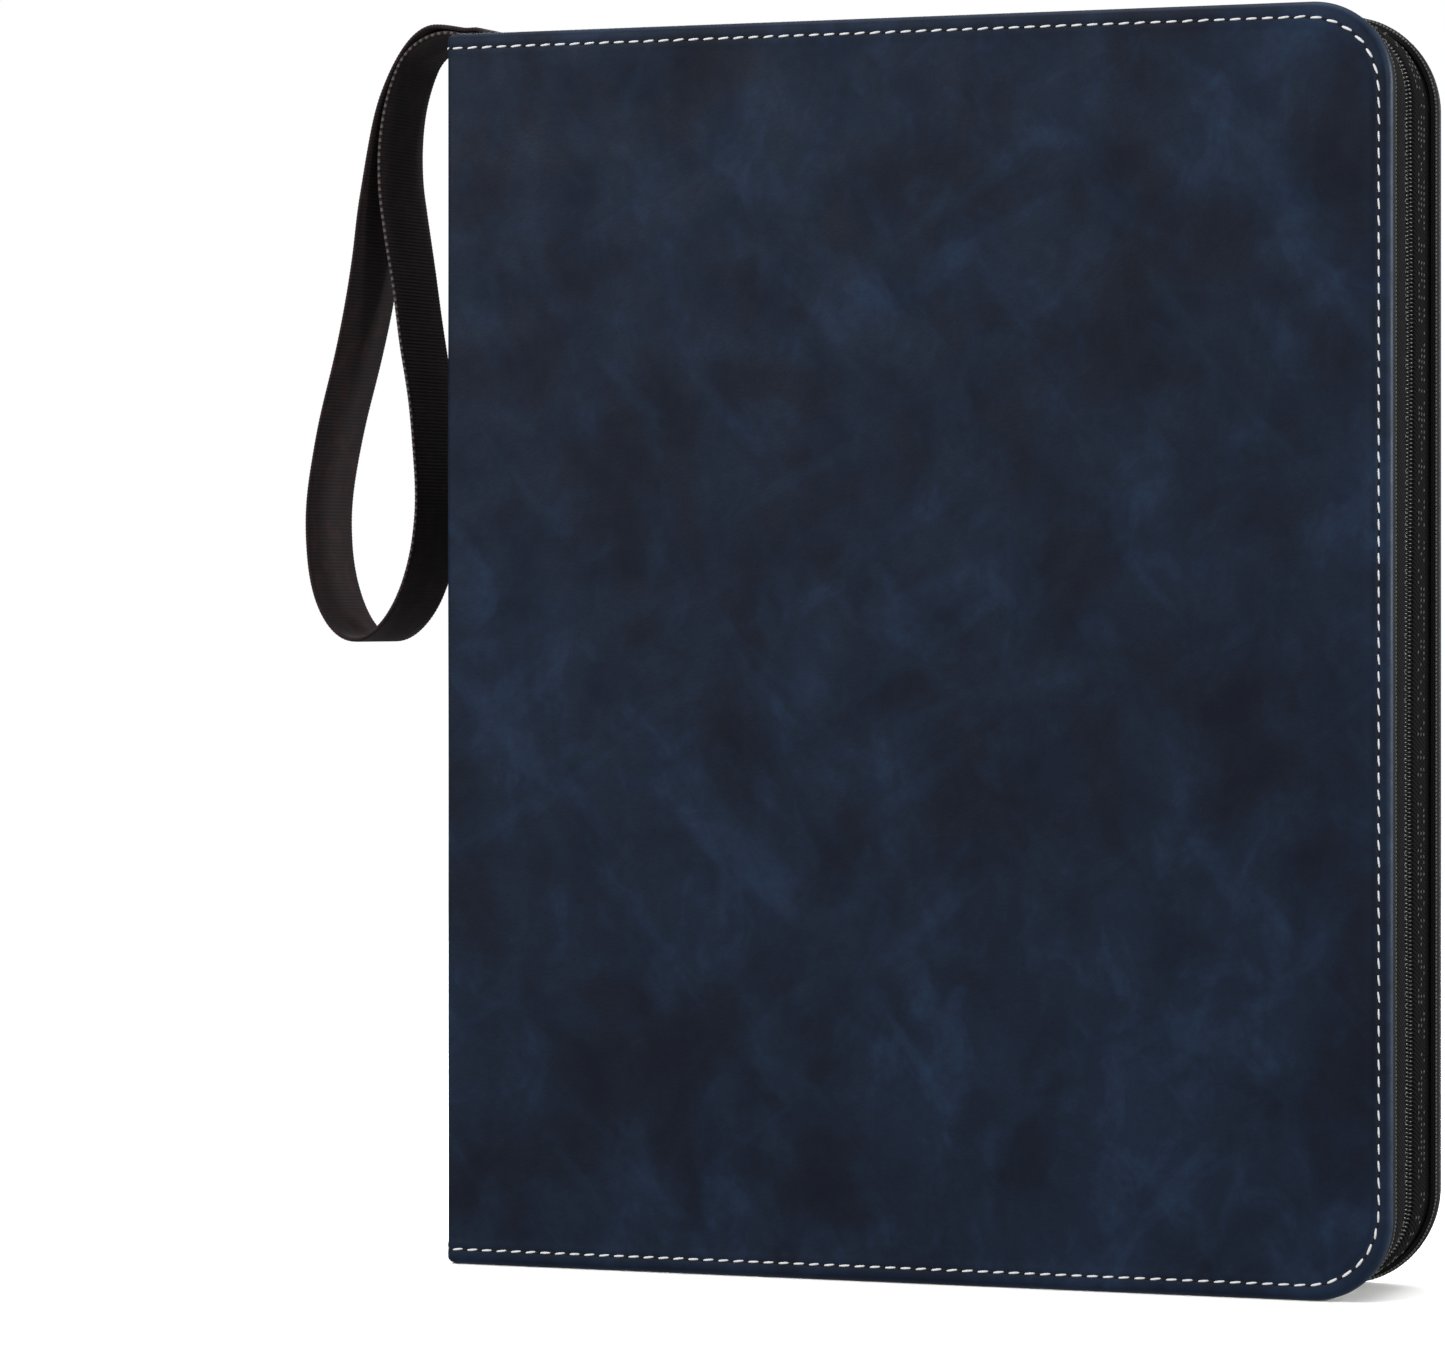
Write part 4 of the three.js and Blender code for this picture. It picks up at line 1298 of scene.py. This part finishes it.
def hole_outline(x, z, half_width, half_height):
    """A hole with round ends, or a round hole where both halves are alike."""
    bend = half_height - half_width
    return [(x + half_width * math.cos(a), z + half_width * math.sin(a) + (bend if a < math.pi else -bend))
            for a in (2 * math.pi * (i + 0.5) / 20 for i in range(20))]


def pierced_sheet(outline, holes, thickness):
    """The points and faces of a flat sheet with holes, in (x, across, z), filled by a 2D curve."""
    curve = bpy.data.curves.new("pierced", "CURVE")
    curve.dimensions = "2D"
    curve.fill_mode = "BOTH"
    curve.extrude = thickness / 2
    for loop in [outline] + holes:
        spline = curve.splines.new("POLY")
        spline.points.add(len(loop) - 1)
        spline.points.foreach_set("co", [value for x, z in loop for value in (x, z, 0, 1)])
        spline.use_cyclic_u = True
    holder = bpy.data.objects.new("pierced", curve)
    bpy.context.scene.collection.objects.link(holder)
    mesh = bpy.data.meshes.new_from_object(holder.evaluated_get(bpy.context.evaluated_depsgraph_get()))
    points = [(v.co.x, v.co.z, v.co.y) for v in mesh.vertices]
    faces = [list(face.vertices) for face in mesh.polygons]
    bpy.data.objects.remove(holder)
    bpy.data.meshes.remove(mesh)
    bpy.data.curves.remove(curve)
    return points, faces


def weld_lines():
    """Lines of weld dots in (x, z): beside the strip, between and round the pockets."""
    last = POCKET_START + POCKET[0] * 3
    columns = [POCKET_START - 2.6, POCKET_START - 1.0] + [POCKET_START + POCKET[0] * i for i in (1, 2)]
    columns += [last - 1.2]
    lines = [((x, -141), (x, 141)) for x in columns]
    lines += [((POCKET_START, z), (last - 1, z)) for z in (POCKET[1] * (i - 1.5) for i in (0, 1, 2))]
    strip = 1.6 - LEAF["strip"]
    return lines + [((strip, -125), (strip, 125))]


def add_weld_dots(shape, locate, face_side, lift):
    """Small raised dashes in lines over a leaf's face."""
    pitch = 2.1
    corners = [(-0.55, -0.3), (0.55, -0.3), (0.55, 0.3), (-0.55, 0.3)]
    faces = [[0, 1, 2, 3], [4, 5, 6, 7]] + [[j, (j + 1) % 4, 4 + (j + 1) % 4, 4 + j] for j in range(4)]
    for start, end in weld_lines():
        length = math.dist(start, end)
        along_x, along_z = (end[0] - start[0]) / length, (end[1] - start[1]) / length
        for i in range(int(length / pitch)):
            s = (i + 0.5) * pitch
            x, z = start[0] + along_x * s, start[1] + along_z * s
            foot = [(x + along_x * a - along_z * b, z + along_z * a + along_x * b) for a, b in corners]
            crest = [(x + 0.6 * (p - x), z + 0.6 * (q - z)) for p, q in foot]
            points = [locate(p, face_side * (lift - 0.02), q) for p, q in foot]
            points += [locate(p, face_side * (lift + 0.12), q) for p, q in crest]
            shape.add(points, faces, finish=1)


def pocket_middles():
    """The middles of the nine pockets, in (x, z)."""
    return [(POCKET_START + POCKET[0] * (column + 0.5) - 0.6, POCKET[1] * (row - 1))
            for column in range(3) for row in range(3)]


def add_film(shape, locate, x, z, face_side):
    """A pocket's clear front: a thin sheet that rises over the card from its welded edges."""
    columns = [-33.2, -32.6, -31.9, -20, 0, 20, 31.9, 32.6, 33.2]
    rows = [-46.2, -45.7, -44.9, -30, -10, 10, 30, 44.9, 45.7, 46.2]
    points, wears = [], []
    for lift in (0.0, 0.045):
        for b in rows:
            for a in columns:
                on_rim = max(abs(a) / columns[-1], abs(b) / rows[-1]) > 0.995
                crown = 0.05 * math.cos(math.pi * a / 66) * math.cos(math.pi * b / 92)
                rise = 0.2 if on_rim else 0.43 + crown
                points.append(locate(x + a, face_side * (rise + lift), z + b))
                wears.append(0.55 if abs(a) > 32.4 or abs(b) > 45.6 else 0.05)
    wide, count = len(columns), len(columns) * len(rows)
    sheet_faces = grid_faces(len(rows), wide)
    faces = sheet_faces + [[i + count for i in face] for face in sheet_faces]
    rim = list(range(wide)) + [wide * r + wide - 1 for r in range(1, len(rows))]
    rim += [count - 1 - i for i in range(1, wide)] + [wide * r for r in range(len(rows) - 2, 0, -1)]
    faces += [[a, b, b + count, a + count] for a, b in zip(rim, rim[1:] + rim[:1])]
    shape.add(points, faces, wears=wears, finish=2)


def add_card(shape, locate, x, z, face_side, chance):
    """A card, lying slightly askew in its pocket."""
    turn = chance.uniform(-0.006, 0.006)
    x += chance.uniform(-0.5, 0.5)
    z += chance.uniform(-1.2, 0.0)
    outline = rounded_outline((-CARD[0] / 2, CARD[0] / 2), CARD[1] / 2, 3.2, 0, 5)
    rings, places = [], []
    for across in (0.18, 0.4):
        rings.append([locate(x + a - b * turn, face_side * across, z + b + a * turn) for a, b in outline])
        places += [(a, b, 0) for a, b in outline]
    count = len(outline)
    faces = grid_faces(2, count, wrap=True) + [list(range(count)), list(range(count, 2 * count))]
    shape.add([point for ring in rings for point in ring], faces, places)


def make_leaves(side_name, side, finishes, card):
    """The leaves of one side, each a pierced sheet with pockets and cards on both faces."""
    middle = sum(node_range(LEAF_NAMES[side_name][0], 2)) / 2
    holes = [hole_outline(0, z, 2.65, 2.65) for z in ROUND_HOLES]
    holes += [hole_outline(0, z, 2.8, 4.8) for z in SLOTS]
    holes += [hole_outline(0.9, z, 3.9, 5.0) for z in RING_SLOTS]
    sheet_points, sheet_faces = pierced_sheet(leaf_outline(), holes, LEAF["backing"])
    for number, node in enumerate(LEAF_NAMES[side_name]):
        chance = random.Random(100 * (2 + side) + number)
        start = node_range(node, 0)[0] + LEAF["strip"]
        plane = sum(node_range(node, 1)) / 2

        def locate(x, across, z, start=start, plane=plane):
            return start + x, plane + across, middle + z

        shape, cards = Shape(), Shape()
        shape.add([locate(*point) for point in sheet_points], sheet_faces, places=sheet_points)
        for face_side in (-1, 1):
            if number in (0, len(LEAF_NAMES[side_name]) - 1):
                add_weld_dots(shape, locate, face_side, LEAF["backing"] / 2)
            for x, z in pocket_middles():
                add_film(shape, locate, x, z, face_side)
                add_card(cards, locate, x, z, face_side, chance)
        sheet = sharpen(make_piece(f"{node}_pockets", shape, finishes, merge=False), 40)
        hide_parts(node)
        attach(sheet, f"{side_name}_pages")
        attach(sharpen(make_piece(f"{node}_cards", cards, card, merge=False)), f"{side_name}_pages")


# ---- studio -------------------------------------------------------------------------------------
LENS = 153.86
VIEW_HEIGHT_SHIFT = -0.0506
VIEW_PLACE = (0.5826, -1.5335, 0.1762)
VIEW_TURN = 22.0
LIGHTS = {  # place, size and power
    "key": ((-1.1, -1.6, 1.0), (0.5, 0.5), 25),
    "fill": ((1.2, -0.8, 0.5), (0.3, 0.5), 5),
    "edge": ((1.3, 0.85, 0.45), (0.2, 0.8), 11),
    "top": ((-0.1, 0.1, 1.4), (0.9, 0.5), 7),
    "back": ((-0.9, 1.4, 0.8), (0.8, 0.8), 10),
}
LIT_POINT = (0, 0, 0.17)
SKY = {"power": 2.8, "angle": 60, "fill": 0.3}
FLOOR_REACH = 12000


def make_camera():
    """The view from a little to the right of the front, level with the middle of the cover."""
    data = bpy.data.cameras.new("camera")
    data.lens = LENS
    data.sensor_width = 36
    data.shift_y = VIEW_HEIGHT_SHIFT
    data.clip_end = 50
    camera = bpy.data.objects.new("camera", data)
    camera.location = VIEW_PLACE
    camera.rotation_euler = (math.radians(90), 0, math.radians(VIEW_TURN))
    bpy.context.scene.collection.objects.link(camera)
    bpy.context.scene.camera = camera


def make_light(name, place, size, power):
    """A soft box aimed at the middle of the binder."""
    data = bpy.data.lights.new(name, "AREA")
    data.shape = "RECTANGLE"
    data.size, data.size_y = size
    data.energy = power
    light = bpy.data.objects.new(name, data)
    light.location = place
    light.rotation_euler = (Vector(LIT_POINT) - Vector(place)).to_track_quat("-Z", "Y").to_euler()
    bpy.context.scene.collection.objects.link(light)


def make_world():
    """White behind the binder as the camera sees it, and a weaker white as light."""
    world = bpy.data.worlds.new("studio")
    world.use_nodes = True
    tree = world.node_tree
    background = tree.nodes["Background"]
    seen = tree.nodes.new("ShaderNodeLightPath").outputs["Is Camera Ray"]
    strength = tree.nodes.new("ShaderNodeMapRange")
    strength.inputs["To Min"].default_value = SKY["fill"]
    tree.links.new(seen, strength.inputs["Value"])
    tree.links.new(strength.outputs[0], background.inputs["Strength"])
    background.inputs["Color"].default_value = (1, 1, 1, 1)
    bpy.context.scene.world = world
    bpy.context.scene.view_settings.view_transform = "Standard"


def make_floor_and_sky():
    """A pale floor, with a broad sky light of its own that keeps it as white as the background."""
    sky = bpy.data.lights.new("sky", "SUN")
    sky.energy = SKY["power"]
    sky.angle = math.radians(SKY["angle"])
    sky_light = bpy.data.objects.new("sky", sky)
    bpy.context.scene.collection.objects.link(sky_light)
    shape = Shape()
    corners = [(-1, -1), (1, -1), (1, 1), (-1, 1)]
    shape.add([(u * FLOOR_REACH, y * FLOOR_REACH, 0) for u, y in corners], [[0, 1, 2, 3]])
    floor = make_piece("floor", shape, make_floor())
    floor.location.z = -0.05 * MM
    floor.visible_diffuse = False
    floor.visible_glossy = False
    lit = bpy.data.collections.new("lit_by_sky")
    lit.objects.link(floor)
    sky_light.light_linking.receiver_collection = lit
    floor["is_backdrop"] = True


# ---- the whole binder ---------------------------------------------------------------------------
def give_finish(material, *nodes):
    """Puts a material on CAD nodes that stay as they are."""
    for node in nodes:
        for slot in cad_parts[node].material_slots:
            slot.material = material


def make_binder():
    leather = make_leather()
    white = make_thread("white_thread", "ffffff", "efeeea")
    black_thread = make_thread("black_thread", "63635f", "383836")
    hole_shade = make_hole_shade()
    binding = make_binding("black_binding", "1e1e1e", "060606")
    # The back tape is the same tape as the front one, painted much darker: painted shade of the recess by
    # the back cover.
    tapes = {"front": make_tape("zip_tape", "2c2c2b", "020202"),
             "back": make_tape("shaded_back_tape", "111111", "030303")}
    coil = make_coil()
    lining = make_lining()
    nickel = make_metal("nickel", "d8d5cf", "b9b6b0", 0.2)
    gunmetal = make_metal("gunmetal", "4a4a4c", "2e2e30", 0.34)
    give_finish(make_board(), "front_board", "back_board", "spine_board")
    make_spine_lining(lining)
    give_finish(make_metal("blade_nickel", "c9c6c0", "a9a6a0", 0.3, on_pieces=False),
                "left_ring_blade", "right_ring_blade")
    for name, side in (("front", -1), ("back", 1)):
        make_skin(name, side, leather)
        make_stitches(name, side, white, hole_shade)
        make_lining_panel(name, side, lining)
        make_fold_lining(name, side, lining)
        make_edge_binding(name, side, binding, black_thread)
        make_zip_side(name, side, tapes[name], black_thread, coil)
    gusset = make_binding("black_gusset", "2c2c2b", "141414")
    make_back_gusset(gusset)
    make_spine_gusset("spine_top_gusset", False, gusset)
    make_spine_gusset("spine_bottom_gusset", True, gusset)
    make_slider(gunmetal)
    make_link(gunmetal)
    make_tab(make_rubber())
    for name in ("zip_top_stop", "zip_bottom_stop"):
        make_stop(name, gunmetal)
    make_strap(make_webbing())
    make_cover_plate(nickel)
    for name, side in (("left", -1), ("right", 1)):
        make_half_rings(name, side, nickel)
    for name, mirror in (("upper", False), ("lower", True)):
        make_rivet(f"{name}_rivet", nickel)
        make_lever(f"{name}_lever", mirror, nickel)
    leaf_finishes = [make_leaf(), make_weld(), make_film()]
    card = make_card()
    for name, side in (("left", -1), ("right", 1)):
        make_leaves(name, side, leaf_finishes, card)


make_camera()
make_world()
make_floor_and_sky()
for light_name, (light_place, light_size, light_power) in LIGHTS.items():
    make_light(light_name, light_place, light_size, light_power)
make_binder()
visual_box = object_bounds()
[[list(corner) for corner in box] for box in (cad_box, visual_box)]
